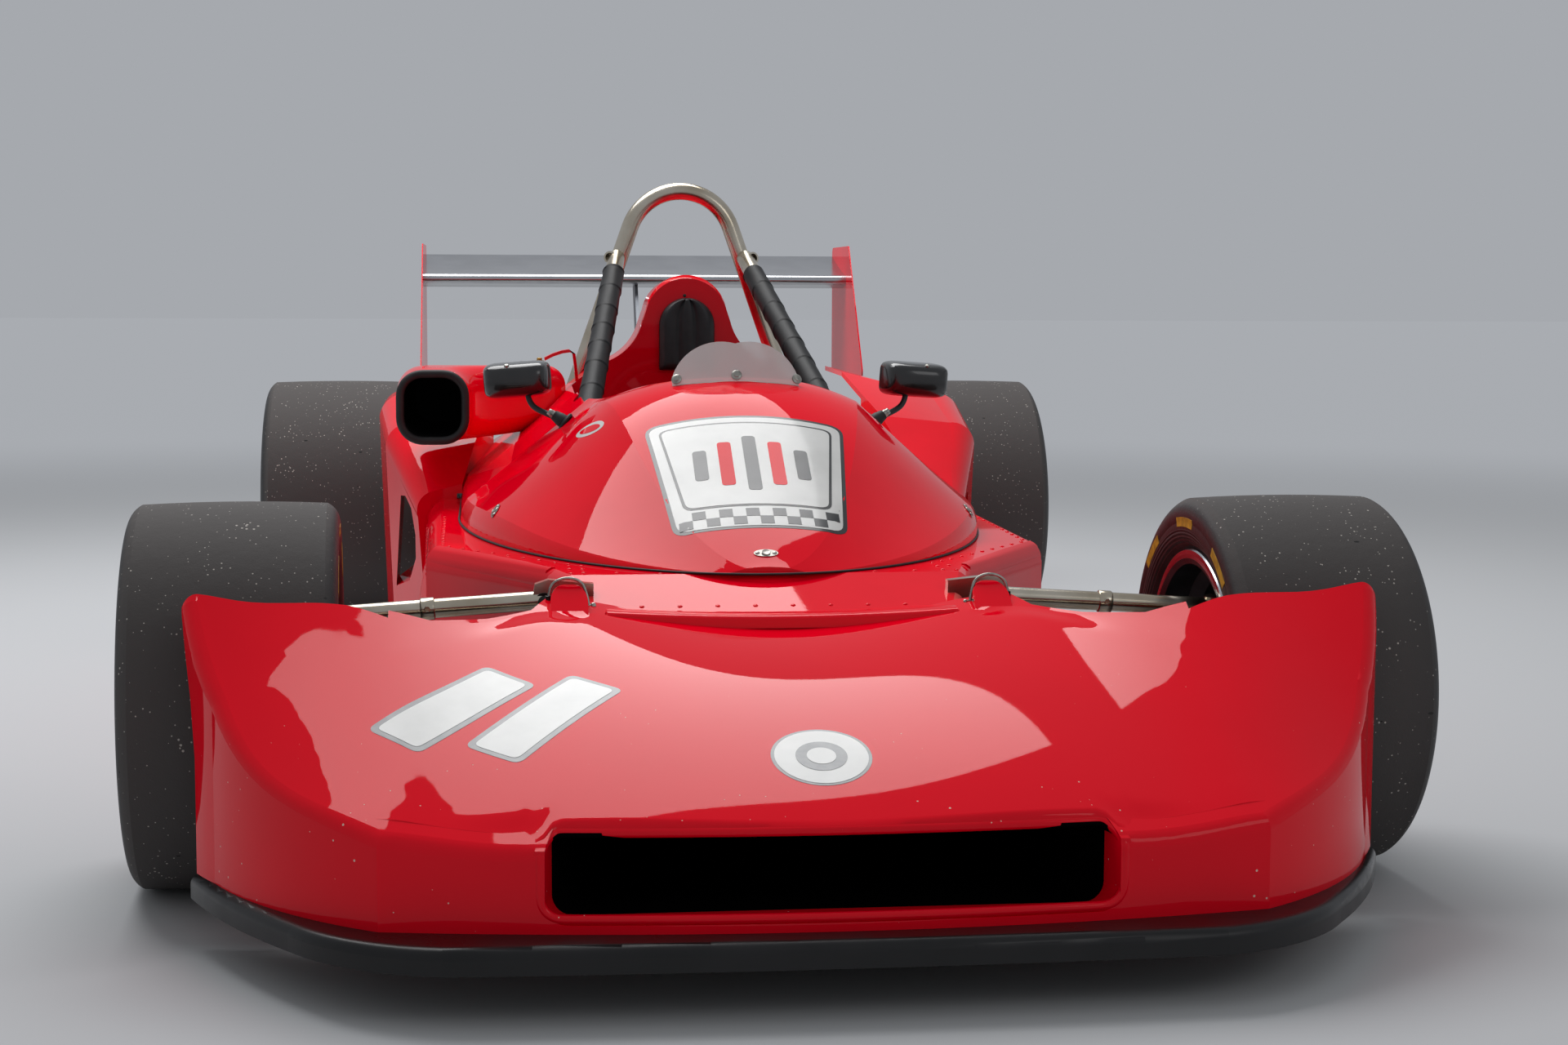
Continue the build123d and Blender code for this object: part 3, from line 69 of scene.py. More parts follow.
def linear(code):
    """An sRGB hex colour as the linear one that a shader takes."""
    parts = [int(code[k:k + 2], 16) / 255 for k in (1, 3, 5)]
    return [c / 12.92 if c <= 0.04045 else ((c + 0.055) / 1.055) ** 2.4 for c in parts] + [1.0]


def add(finish, kind, sockets=(), out=0, **settings):
    """Adds a shader node with its settings, and fills its sockets with values or with other nodes' outputs.
    Gives the output asked for."""
    made = finish.node_tree.nodes.new("ShaderNode" + kind)
    for key, value in settings.items():
        setattr(made, key, value)
    for key, value in dict(sockets).items():
        if isinstance(value, bpy.types.NodeSocket):
            finish.node_tree.links.new(value, made.inputs[key])
        else:
            made.inputs[key].default_value = value
    return made.outputs[out]


def grain(finish, size_mm, detail=2.0, kind="TexNoise"):
    """A pattern of a real size, or of three sizes where it is drawn out, to feed colour, roughness or relief."""
    where = add(finish, "TexCoord", out="Object")
    if isinstance(size_mm, tuple):
        where = add(finish, "Mapping", {"Vector": where, "Scale": [1 / (size * MM) for size in size_mm]})
        size_mm = 1 / MM
    return add(finish, kind, {"Vector": where, "Scale": 1 / (size_mm * MM), "Detail": detail})


def entry_of(finish, name):
    """A socket of a finish's shader."""
    return finish.node_tree.nodes["Principled BSDF"].inputs[name.replace("_", " ")]


def uneven(finish, pattern, low, high):
    """Roughness that follows a pattern between two values."""
    span = add(finish, "MapRange", {"Value": pattern, "From Min": 0.3, "From Max": 0.7, "To Min": low, "To Max": high})
    finish.node_tree.links.new(span, entry_of(finish, "Roughness"))


def new_finish(name, colours, patch_mm, roughness, metallic=0.0, detail=4.0, **more):
    """A material in one hex colour, or in two that drift over patches of a real size; roughness given as two
    values follows the patches. What is the same all over is set on the shader's own sockets."""
    finish = bpy.data.materials.new(name)
    finish.use_nodes = True
    for key, value in dict(Base_Color=colours, Roughness=roughness, Metallic=metallic, **more).items():
        if not isinstance(value, tuple):
            entry_of(finish, key).default_value = linear(value) if isinstance(value, str) else value
    if patch_mm:
        patches = grain(finish, patch_mm, detail)
        colour = add(finish, "ValToRGB", {"Fac": patches})
        for stop, place, code in zip(colour.node.color_ramp.elements, (0.35, 0.65), colours):
            stop.position = place
            stop.color = linear(code)
        finish.node_tree.links.new(colour, entry_of(finish, "Base Color"))
        if isinstance(roughness, tuple):
            uneven(finish, patches, *roughness)
    return finish


def relief(finish, height, depth_mm, socket="Normal"):
    """Bump of a real depth from a pattern, on top of any that is there already."""
    bump = add(finish, "Bump", {"Height": height, "Distance": depth_mm * MM, "Strength": 1.0})
    entry = entry_of(finish, socket)
    if entry.is_linked:
        finish.node_tree.links.new(entry.links[0].from_socket, bump.node.inputs["Normal"])
    finish.node_tree.links.new(bump, entry)


def cover_with(finish, *nodes):
    """Gives CAD nodes a finish in their material slots."""
    for name in nodes:
        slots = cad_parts[name].material_slots
        if not slots:
            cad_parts[name].data.materials.append(finish)
        for slot in slots:
            slot.material = finish


# Red polyurethane enamel, sprayed and polished: a deep even red under a clear hard gloss, with faint orange
# peel a few millimetres across.
RED = "#F40020"
DEEP_RED = "#DE001A"
GLOSS = dict(Specular_IOR_Level=0.0, Coat_Weight=0.68, Coat_Roughness=0.02, Coat_IOR=1.36)
red_enamel = new_finish("red_enamel", (DEEP_RED, RED), 400, 0.35, **GLOSS)
relief(red_enamel, grain(red_enamel, 4.0), 0.004, "Coat Normal")
cover_with(red_enamel, "monocoque", "sidepod_left", "sidepod_right", "rear_cover", "intake_trunk")

surfaces = {}
ABOVE = 1200.0
OUTSIDE = 700.0


def surface(node):
    """What finds places on a CAD node, or on a piece made before."""
    if node not in surfaces:
        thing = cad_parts.get(node) or bpy.data.objects[node]
        surfaces[node] = BVHTree.FromObject(thing, bpy.context.evaluated_depsgraph_get())
    return surfaces[node]


def touch(node, start, way):
    """Where a line from start meets a node, and the surface's direction there, facing the start."""
    place, normal, _, _ = surface(node).ray_cast(start, way)
    if place is None:
        raise ValueError(f"no {node} under {tuple(round(c, 3) for c in start)}")
    return place, normal if normal.dot(way) < 0 else -normal


def on_top(node, x, station):
    """The point of a node's upper surface at a place in plan."""
    return touch(node, at(x, station, ABOVE), -UP)


def on_side(node, side, station, height):
    """The point of a node's outer surface at a place seen from one side."""
    return touch(node, at(side * OUTSIDE, station, height), SIDEWAYS * -side)


def piece(name, form, finish, body="chassis", smooth=True):
    """A new object from a bmesh, riding on a body."""
    mesh = bpy.data.meshes.new(name)
    form.to_mesh(mesh)
    form.free()
    mesh.polygons.foreach_set("use_smooth", [smooth] * len(mesh.polygons))
    mesh.set_sharp_from_angle(angle=math.radians(40))
    mesh.materials.append(finish)
    made = bpy.data.objects.new(name, mesh)
    scene.collection.objects.link(made)
    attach(made, body)
    return made


def around(count):
    """Evenly spaced angles round a circle."""
    return [2 * math.pi * k / count for k in range(count)]


def bridge(form, rings, caps=()):
    """Adds faces from each ring of points to the next, and over the rings named as caps; one point is a pole."""
    rings = [[form.verts.new(point) for point in ring] for ring in rings]
    for lower, upper in zip(rings, rings[1:]):
        sides = max(len(lower), len(upper))
        for k in range(sides):
            j = (k + 1) % sides
            corners = (lower[k % len(lower)], lower[j % len(lower)], upper[j % len(upper)], upper[k % len(upper)])
            corners = list(dict.fromkeys(corners))
            if len(corners) > 2:
                form.faces.new(corners)
    for k in caps:
        form.faces.new(rings[k])
    if caps:
        bmesh.ops.recalc_face_normals(form, faces=form.faces[:])


def turn(form, place, axis, profile, sides=16):
    """Adds a turned form at a place: its profile holds (radius, height) pairs in millimetres along the axis."""
    lie = axis.to_track_quat("Z", "Y").to_matrix()
    rings = []
    for radius, height in profile:
        angles = around(sides if radius > 0 else 1)
        offsets = [Vector((radius * math.cos(a), radius * math.sin(a), height)) for a in angles]
        rings.append([place + lie @ (offset * MM) for offset in offsets])
    bridge(form, rings)


RIVET = ((3.4, -0.5), (3.4, 0.3), (2.9, 0.9), (1.7, 1.4), (0.0, 1.6))  # a 3.2 mm domed rivet's head
# Each row's first and last rivet in plan, and how many there are; the second group is on both sides
MIDDLE_ROWS = (((-228, -44), (226, -44), 10), ((-205, 78), (-146, 64), 2), ((152, 70), (209, 76), 2))
SIDE_ROWS = (
    ((268, 78), (268, 190), 3), ((250, 84), (250, 168), 3), ((286, 214), (440, 446), 8), ((449, 480), (455, 930), 12),
)
rows = list(MIDDLE_ROWS)
for side in (1, -1):
    rows += [((side * x0, y0), (side * x1, y1), count) for (x0, y0), (x1, y1), count in SIDE_ROWS]
rivets = bmesh.new()
for first, last, count in rows:
    for k in range(count):
        x, station = [a + (b - a) * k / (count - 1) for a, b in zip(first, last)]
        turn(rivets, *on_top("monocoque", x, station), RIVET, 12)
for side in (1, -1):
    flank = [(station, height) for height in (100, 350) for station in range(520, 1660, 60)]
    for station, height in flank + [(station, 95) for station in range(-80, 440, 52)]:
        turn(rivets, *on_side("monocoque", side, station, height), RIVET, 10)
piece("tub_rivets", rivets, red_enamel)

# The shoulder panels: one formed aluminium sheet each side closes the flare ahead of the cockpit, its edges
# rolled over the tub's corners and riveted. It is sprayed with the tub and shows as a raised edge.
SHEET = 2.2
ROLL = 6.0
SHOULDER_HEIGHTS = (84, 110, 150, 200, 250, 300, 335, 352, 362, 369)
SHOULDER_STATIONS = (142, 146, 160, 190, 230, 280, 330, 380, 420, 440, 450, 454)
TOP_REACH = (1.0, 6.0, 12.0)


def slab(form, top, low):
    """Adds a closed sheet between two grids of points. Gives both grids of corners, and the border's places."""
    top, low = [[[form.verts.new(point) for point in row] for row in grid] for grid in (top, low)]
    rows = len(top)
    columns = len(top[0])
    made = []
    for i in range(rows - 1):
        for j in range(columns - 1):
            made.append(form.faces.new((top[i][j], top[i][j + 1], top[i + 1][j + 1], top[i + 1][j])))
            made.append(form.faces.new((low[i][j], low[i + 1][j], low[i + 1][j + 1], low[i][j + 1])))
    border = [(0, j) for j in range(columns)] + [(i, columns - 1) for i in range(1, rows)]
    border += [(rows - 1, j) for j in range(columns - 2, -1, -1)] + [(i, 0) for i in range(rows - 2, 0, -1)]
    for (i, j), (k, m) in zip(border, border[1:] + border[:1]):
        made.append(form.faces.new((top[k][m], top[i][j], low[i][j], low[k][m])))
    bmesh.ops.recalc_face_normals(form, faces=made)
    return top, low, border


def sheet_over(form, grid, lift, thick):
    """Adds a closed sheet that follows a grid of (point, direction) pairs; lift and thickness in millimetres."""
    slab(form, *[[[p + n * (height * MM) for p, n in row] for row in grid] for height in (lift, lift - thick)])


panels = bmesh.new()
for side in (1, -1):
    grid = []
    for station in SHOULDER_STATIONS:
        row = [on_side("monocoque", side, station, height) for height in SHOULDER_HEIGHTS]
        edge = abs(row[-1][0].x) / MM
        grid.append(row + [on_top("monocoque", side * (edge - ROLL - reach), station) for reach in TOP_REACH])
    sheet_over(panels, grid, SHEET, SHEET + 0.5)
piece("shoulder_panels", panels, red_enamel)

# The nose: one glass fibre moulding as wide as the car, hand laid in a mould with its colour in the gelcoat,
# then painted and polished. It slides over the footbox and is held by two wire bails over its tabs.
# Road grit has chipped it to pale specks up to about 2 mm across, most of them low on the front.
CHIP = "#E8B9AE"
CHIP_GAP = 15.0
CHIP_SIZE = 1.0
# Boxes inside the duct where the enamel is painted near black: painted shade of the deep duct.
DUCT_FLOOR_SHADE = ((-331.5, -606, 90), (331.5, -150, 196))
DUCT_ROOF_SHADE = ((-331.5, -624, 182), (331.5, -150, 330))


def inside(finish, low, high):
    """1 within a box, given by two corners in car stations, and 0 outside it."""
    where = add(finish, "TexCoord", out="Object")
    mask = 1.0
    for axis, a, b in zip("XYZ", at(*low), at(*high)):
        reach = {0: add(finish, "SeparateXYZ", {"Vector": where}, axis), 1: (a + b) / 2, 2: abs(b - a) / 2}
        mask = add(finish, "Math", {0: add(finish, "Math", reach, operation="COMPARE"), 1: mask}, operation="MULTIPLY")
    return mask


def over(finish, *masks, **changes):
    """Where every mask is 1, changes what feeds the shader's sockets: a hex colour, or a number."""
    mask = masks[0]
    for other in masks[1:]:
        mask = add(finish, "Math", {0: mask, 1: other}, operation="MULTIPLY")
    for name, value in changes.items():
        entry = entry_of(finish, name)
        kind = "RGBA" if isinstance(value, str) else "FLOAT"
        before = entry.default_value if kind == "FLOAT" else list(entry.default_value)
        if entry.is_linked:
            before = entry.links[0].from_socket
        after = linear(value) if kind == "RGBA" else value
        mix = add(finish, "Mix", {"Factor": mask, "A": before, "B": after}, "Result", data_type=kind)
        finish.node_tree.links.new(mix, entry)


nose_enamel = new_finish("chipped_red_enamel_and_duct_shade", DEEP_RED, None, 0.35, **GLOSS)
over(nose_enamel, grain(nose_enamel, 400, 4.0), Base_Color=RED)
size = add(nose_enamel, "MapRange", {"Value": grain(nose_enamel, 90, 3.0), "From Min": 0.4, "From Max": 0.7,
                                    "To Max": CHIP_SIZE / CHIP_GAP * 1.6})
height = add(nose_enamel, "SeparateXYZ", {"Vector": add(nose_enamel, "TexCoord", out="Object")}, "Z")
low_down = add(nose_enamel, "MapRange", {"Value": height, "From Min": 0.33, "From Max": 0.2, "To Min": 0.25})
reach = add(nose_enamel, "Math", {0: size, 1: low_down}, operation="MULTIPLY")
cells = grain(nose_enamel, CHIP_GAP, 0.0, "TexVoronoi")
over(nose_enamel, add(nose_enamel, "Math", {0: cells, 1: reach}, operation="LESS_THAN"), Base_Color=CHIP)
relief(nose_enamel, grain(nose_enamel, 4.0), 0.004, "Coat Normal")
tilt = add(nose_enamel, "SeparateXYZ", {"Vector": add(nose_enamel, "NewGeometry", out="Normal")}, "Z")
turned_in = add(nose_enamel, "Math", {0: tilt, 1: 0.15}, operation="LESS_THAN")
# Painted shade inside the duct: the roof's downward faces and the floor turn near black and matt, without gloss.
for masks in ((inside(nose_enamel, *DUCT_ROOF_SHADE), turned_in), (inside(nose_enamel, *DUCT_FLOOR_SHADE),)):
    over(nose_enamel, *masks, Base_Color="#060607", Coat_Weight=0.0, Roughness=0.7)
cover_with(nose_enamel, "nose_cone")

# The nose's upper skin: the moulding is filled and rubbed down by hand to one fair curve, and over the duct it
# runs down to a soft rolled edge. The skin lies a few millimetres over the moulding's ribs.
REARWARDS = Vector((0, 1, 0))
SKIN_HALF = 520.0
SKIN_CELL = 10.0
FAIR_HALF = 400.0
MOUTH_HALF = 324.7
MOUTH_TOP = 194.7
MOUTH_FLOOR = 105.3
MOUTH_CORNER = 24.0
ROLL_R = 6.0
BROW = 200.0  # where the skin meets the rolled edge
FLANGE_FRONT = -147.0
REAR_CORNERS = ((0, FLANGE_FRONT), (304, FLANGE_FRONT), (325, -158), (380, -208), (450, -258), (540, -330))
SKIN_ROWS = 52
FAIRING_ROUNDS = 40


def nose_height(x, station):
    """The moulding's height at a place in plan, or None over the duct's mouth and off its edges."""
    place, _, _, _ = surface("nose_cone").ray_cast(at(x, station, ABOVE), -UP)
    return None if place is None or place.z < 0.12 else place.z / MM


def front_face(x, height=95.0):
    """The station of the nose's front face."""
    place, _ = touch("nose_cone", at(x, -800, height), REARWARDS)
    return (place.y - front_axle) / MM


def brow_station(x, height):
    """The station of the fair front curve over the mouth, carried across from the moulding beside it."""
    return front_face(336, height) + front_face(x) - front_face(336)


def rear_edge(x):
    """The station of the moulding's rear edge in plan."""
    return numpy.interp(abs(x), *zip(*REAR_CORNERS))


def curve_terms(x, station):
    """The fair curve's terms: even powers across the car and powers along it."""
    u = (station + 400) / 250
    v = (x / 480) ** 2
    return [v ** a * u ** b for a in range(4) for b in range(4)]


def eased(share):
    """A share between 0 and 1 that starts and ends softly."""
    share = min(1.0, max(0.0, share))
    return share * share * (3 - 2 * share)


def corner_drop(x):
    """How far the mouth's round top corner falls at a place across the car."""
    arc = math.asin(min(1.0, max(0.0, (abs(x) - MOUTH_HALF + MOUTH_CORNER) / MOUTH_CORNER)))
    return MOUTH_CORNER * (1 - math.cos(arc))


plan = [(x, station) for station in range(-600, -160, 20) for x in range(-480, 481, 24)]
samples = [(x, station, nose_height(x, station)) for x, station in plan]
samples = [sample for sample in samples if sample[2] is not None]
samples += [(x, brow_station(x, height), height) for x in range(-324, 325, 24) for height in (196, 204, 212)]
terms = numpy.array([curve_terms(x, station) for x, station, _ in samples])
heights = numpy.array([height for _, _, height in samples])
raised = heights
for _ in range(FAIRING_ROUNDS):  # each round lifts the curve towards the tops of the ribs
    curve = numpy.linalg.lstsq(terms, raised, rcond=None)[0]
    raised = numpy.maximum(heights, terms @ curve)

grid = []
columns = 2 * round(SKIN_HALF / SKIN_CELL)
for row in range(SKIN_ROWS + 1):
    line = []
    for column in range(columns + 1):
        x = SKIN_HALF * (2 * column / columns - 1)
        low = BROW - corner_drop(x) if abs(x) < MOUTH_HALF else BROW - 12
        first = brow_station(x, low) if abs(x) < 334 else front_face(x, 130) + 26
        station = first + (rear_edge(x) - 2 - first) * (row / SKIN_ROWS) ** 1.25
        fair = float(numpy.dot(curve_terms(x, station), curve)) + 0.5
        height = nose_height(x, station)
        ahead = eased((-590 - station) / 30) * eased((abs(x) - 300) / 32)
        behind = eased((abs(x) - 236) / 40) * eased(1 - (rear_edge(x) - station) / 50)
        share = (1 - eased((abs(x) - FAIR_HALF) / (SKIN_HALF - FAIR_HALF - 10))) * (1 - ahead) * (1 - behind)
        rim = min(eased((SKIN_HALF - abs(x)) / 60), max(eased(row / 8), share))
        if height is None:
            height = fair
        height += max(share * (fair - height), 0.0) + 0.6 * rim - 0.2
        if row == 0 and abs(x) < MOUTH_HALF:
            height = low
        line.append((at(x, station, height), UP))
    grid.append(line)
skin = bmesh.new()
sheet_over(skin, grid, 0.0, 0.9)
piece("nose_skin", skin, nose_enamel)

# The nose's edges: a raised flange between the two tabs, where the moulding laps over the footbox, and the
# duct's mouth, rolled round all the way, with a short ceiling behind it.
FLANGE_HALF = 238.0
FLANGE_TOP = 369.0
FLANGE_RISE = 8.0  # towards its ends
FLANGE_ROWS = ((-152, -14), (-151, -5), (-149, -1.6), (-145, 0), (-126, 1), (-107, 0), (-104, -1), (-103, -4),
               (-103, -14))
grid = []
for station, drop in FLANGE_ROWS:
    line = []
    for column in range(49):
        share = column / 24 - 1
        near_end = eased((abs(share) - 0.93) / 0.07)
        x = FLANGE_HALF * share
        round_end = 14 * near_end ** 3 * (1 if station < -126 else -1)
        height = FLANGE_TOP + FLANGE_RISE * share ** 2 + drop - 12 * near_end ** 4
        line.append((at(x, station + round_end, height), UP))
    grid.append(line)
flange = bmesh.new()
sheet_over(flange, grid, 0.0, 2.0)
piece("nose_flange", flange, nose_enamel)


def rounded(wide, tall, corner, steps=6):
    """The outline of a rectangle with round corners, from its middle."""
    outline = []
    for quarter, (sign_x, sign_y) in enumerate(((1, 1), (-1, 1), (-1, -1), (1, -1))):
        for k in range(steps + 1):
            angle = math.pi / 2 * (quarter + k / steps)
            x = sign_x * (wide / 2 - corner) + corner * math.cos(angle)
            y = sign_y * (tall / 2 - corner) + corner * math.sin(angle)
            outline.append((x, y))
    return outline


def filled_out(outline, gap):
    """The same closed outline with more points, none further apart than a gap."""
    out = []
    for a, b in zip(outline, outline[1:] + outline[:1]):
        count = max(1, math.ceil(math.dist(a, b) / gap))
        out += [tuple(p + (q - p) * k / count for p, q in zip(a, b)) for k in range(count)]
    return out


def wire(name, points, radius_mm, finish, closed=False):
    """A round wire or bead through points."""
    curve = bpy.data.curves.new(name, "CURVE")
    curve.dimensions = "3D"
    curve.bevel_depth = radius_mm * MM
    curve.bevel_resolution = 3
    curve.resolution_u = 4
    curve.use_fill_caps = True
    line = curve.splines.new("NURBS")
    line.points.add(len(points) - 1)
    for dot, place in zip(line.points, points):
        dot.co = (*place, 1.0)
    line.use_cyclic_u = closed
    line.order_u = 3
    line.use_endpoint_u = not closed
    curve.materials.append(finish)
    made = bpy.data.objects.new(name, curve)
    scene.collection.objects.link(made)
    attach(made, "chassis")
    return made


edge_line = []
for x, z in filled_out(rounded(2 * MOUTH_HALF, MOUTH_TOP - MOUTH_FLOOR, MOUTH_CORNER), 14):
    height = (MOUTH_TOP + MOUTH_FLOOR) / 2 + z
    rise = eased((height - 150) / 40)
    low = front_face(x) + ROLL_R - 1
    high = brow_station(x, min(BROW, height + 5.3)) + 2.7
    edge_line.append(at(x, low + (high - low) * rise, height))
wire("duct_rolled_edge", edge_line, ROLL_R, nose_enamel, closed=True)
ceiling = bmesh.new()
grid = []
for back, up in ((5, -4), (25, -1), (75, 22)):
    places = [322 * (column / 30 - 1) for column in range(61)]
    grid.append([(at(x, brow_station(x, BROW) + back, MOUTH_TOP + up - corner_drop(x)), UP) for x in places])
sheet_over(ceiling, grid, 0.0, 1.0)
piece("duct_ceiling", ceiling, nose_enamel)

# Stickers on the bodywork: printed vinyl film about a tenth of a millimetre thick, cut by hand and pressed
# on, drawn 0.3 mm thick so that it shows. White with thin keylines, in plain shapes.
VINYL = dict(Coat_Weight=0.3, Coat_Roughness=0.08)
white_vinyl = new_finish("white_vinyl", ("#CACAC8", "#D4D4D2"), 60, 0.3, **VINYL)
grey_vinyl = new_finish("silver_grey_vinyl", ("#76787B", "#888A8C"), 20, 0.35, **VINYL)
black_vinyl = new_finish("black_vinyl", ("#101012", "#1A1A1D"), 30, 0.3, **VINYL)

STICKER_CELL = 8.0
FILM = 0.3


def oval(wide, tall, sides=48):
    """The outline of an ellipse."""
    return [(wide / 2 * math.cos(a), tall / 2 * math.sin(a)) for a in around(sides)]


def soft_corners(corners, radius, steps=5):
    """A convex outline with its corners rounded by arcs of about a radius."""
    outline = []
    for before, corner, after in zip(corners[-1:] + corners[:-1], corners, corners[1:] + corners[:1]):
        start, end = [
            Vector(corner) + (Vector(other) - Vector(corner)).normalized() * radius for other in (before, after)
        ]
        for k in range(steps + 1):
            t = k / steps
            outline.append(tuple(start * (1 - t) ** 2 + Vector(corner) * (2 * t * (1 - t)) + end * t * t))
    return outline


def lay_film(form, node, centre, outline, lift, spin=0.0, cell=STICKER_CELL):
    """Lays a convex outline, in millimetres across and up from its centre in plan, on a CAD node's surface."""
    origin, out = on_top(node, *centre)
    across = REARWARDS.cross(out).normalized()
    up = out.cross(across)
    cut = bmesh.new()
    turned = Matrix.Rotation(math.radians(spin), 2)
    corners = [turned @ Vector(point) for point in outline]
    cut.faces.new([cut.verts.new((x, y, 0)) for x, y in corners])
    for axis in (0, 1):
        low = min(c[axis] for c in corners)
        high = max(c[axis] for c in corners)
        for k in range(1, int((high - low) / cell) + 1):
            line = Vector((0, 0, 0))
            line[axis] = low + k * cell
            way = Vector((0, 0, 0))
            way[axis] = 1
            geometry = cut.verts[:] + cut.edges[:] + cut.faces[:]
            bmesh.ops.bisect_plane(cut, geom=geometry, plane_co=line, plane_no=way)
    made = {}
    for vert in cut.verts:
        start = origin + (across * vert.co.x + up * vert.co.y + out * 80) * MM
        place, normal = touch(node, start, -out)
        made[vert] = (place + normal * (lift * MM), place + normal * ((lift - FILM) * MM))
    top = {vert: form.verts.new(both[0]) for vert, both in made.items()}
    under = {vert: form.verts.new(both[1]) for vert, both in made.items()}
    for face in cut.faces:
        form.faces.new([top[v] for v in face.verts])
        form.faces.new([under[v] for v in reversed(face.verts)])
    for edge in cut.edges:
        if edge.is_boundary:
            a, b = edge.verts
            form.faces.new([top[b], top[a], under[a], under[b]])
    cut.free()
    bmesh.ops.recalc_face_normals(form, faces=form.faces[:])


# Each film: name, node, finish, lift over the paint, and its shapes as (plan centre, outline, turn)
SLASH = soft_corners([(-26, -92), (32, -92), (56, 92), (-2, 92)], 9)
SLASH_LINE = soft_corners([(-34, -99), (39, -99), (65, 99), (-8, 99)], 12)
SLASH_PLACES = ((-432, -404), (-326, -420))
FAN_LINE = soft_corners([(-122, -138), (122, -138), (150, 148), (-150, 148)], 24)
FAN = soft_corners([(-116, -132), (116, -132), (144, 142), (-144, 142)], 20)
FAN_KEY = soft_corners([(-105, -84), (105, -84), (130, 129), (-130, 129)], 16)
FAN_FIELD = soft_corners([(-101, -80), (101, -80), (126, 125), (-126, 125)], 14)
BARS_WIDE = 20.0
BAR_STEP = 37.0
BAR_MIDDLE = 22.0
BAR_TALLS = (74, 108, 136, 108, 74)
EMBLEM_AT = (0, 240)
ROUNDEL_AT = (0, -516)
OVAL_AT = (-225, 496)
films = [
    ("number_place_line", "nose_skin", grey_vinyl, 0.35, [(place, SLASH_LINE, -32) for place in SLASH_PLACES]),
    ("number_place_bars", "nose_skin", white_vinyl, 0.7, [(place, SLASH, -32) for place in SLASH_PLACES]),
    ("nose_roundel_line", "nose_skin", grey_vinyl, 0.35, [(ROUNDEL_AT, oval(117, 117), 0)]),
    ("nose_roundel", "nose_skin", white_vinyl, 0.7, [(ROUNDEL_AT, oval(109, 109), 0)]),
    ("nose_roundel_ring", "nose_skin", grey_vinyl, 1.05, [(ROUNDEL_AT, oval(60, 60), 0)]),
    ("nose_roundel_middle", "nose_skin", white_vinyl, 1.4, [(ROUNDEL_AT, oval(34, 34), 0)]),
    ("dome_panel_line", "cockpit_panel", black_vinyl, 0.35, [(EMBLEM_AT, FAN_LINE, 0)]),
    ("dome_panel", "cockpit_panel", white_vinyl, 0.7, [(EMBLEM_AT, FAN, 0)]),
    ("dome_key", "cockpit_panel", black_vinyl, 1.05, [(EMBLEM_AT, FAN_KEY, 0)]),
    ("dome_field", "cockpit_panel", white_vinyl, 1.4, [(EMBLEM_AT, FAN_FIELD, 0)]),
    ("dome_oval", "cockpit_panel", white_vinyl, 0.35, [(OVAL_AT, oval(76, 34), -62)]),
    ("dome_oval_middle", "cockpit_panel", red_enamel, 0.7, [(OVAL_AT, oval(58, 19), -62)]),
]
CHEQUER = 19.0
CHEQUER_FOOT = -128.0


def upright(x, y, wide, tall):
    """The outline of an upright rectangle from its lower left corner."""
    return [(x, y), (x + wide, y), (x + wide, y + tall), (x, y + tall)]


chequers = [
    (EMBLEM_AT, upright(column * CHEQUER, CHEQUER_FOOT + row * CHEQUER, CHEQUER, CHEQUER), 0)
    for row in range(2) for column in range(-6, 6) if (row + column) % 2 == 0
]
bars = []
for k, tall in enumerate(BAR_TALLS):
    corners = upright((k - 2) * BAR_STEP - BARS_WIDE / 2, BAR_MIDDLE - tall / 2, BARS_WIDE, tall)
    bars.append((EMBLEM_AT, soft_corners(corners, 6), 0))
films += [
    ("dome_chequers", "cockpit_panel", black_vinyl, 1.05, chequers),
    ("dome_bars", "cockpit_panel", black_vinyl, 1.75, bars[::2]),
    ("dome_red_bars", "cockpit_panel", red_enamel, 1.75, bars[1::2]),
]
for name, node, finish, lift, shapes in films:
    form = bmesh.new()
    for centre, outline, spin in shapes:
        lay_film(form, node, centre, outline, lift, spin)
    piece(name, form, finish)

# The lip and nose floor: black ABS sheet, its front edge rolled into a round bead that scrapes on kerbs.
# Satin black with a grey bloom and fine scratches that run across the car.
black_abs = new_finish("black_abs_sheet", ("#0C0C0D", "#181719"), 120, (0.22, 0.44), detail=6.0,
                       Specular_IOR_Level=0.35)
SCRATCH = (1000 / 12, 2, 2)
relief(black_abs, grain(black_abs, SCRATCH, 6.0), 0.05)
cover_with(black_abs, "front_splitter")

# The radiator: brazed aluminium tubes and fins across the end of the duct, near black as painted shade of the deep
# duct, with dusty patches.
# The fins are folded about every 2 mm; they are drawn 5 mm apart so that they show.
# Painted shade: near-black colours for the dark deep in the duct; the drift between them is dust.
radiator_shade_and_dust = new_finish("dusty_radiator_in_painted_shade", ("#0E0E0E", "#201F1D"), 25, 0.6)
FIN_GAP = 5.0


def waves(finish, gap_mm, way):
    """Even ridges across an axis, a real distance apart."""
    where = add(finish, "TexCoord", out="Object")
    return add(finish, "TexWave", {"Vector": where, "Scale": 1 / (gap_mm * MM) / 6.28}, "Fac", bands_direction=way)


relief(radiator_shade_and_dust, waves(radiator_shade_and_dust, FIN_GAP, "X"), 1.2)
cover_with(radiator_shade_and_dust, "radiator")

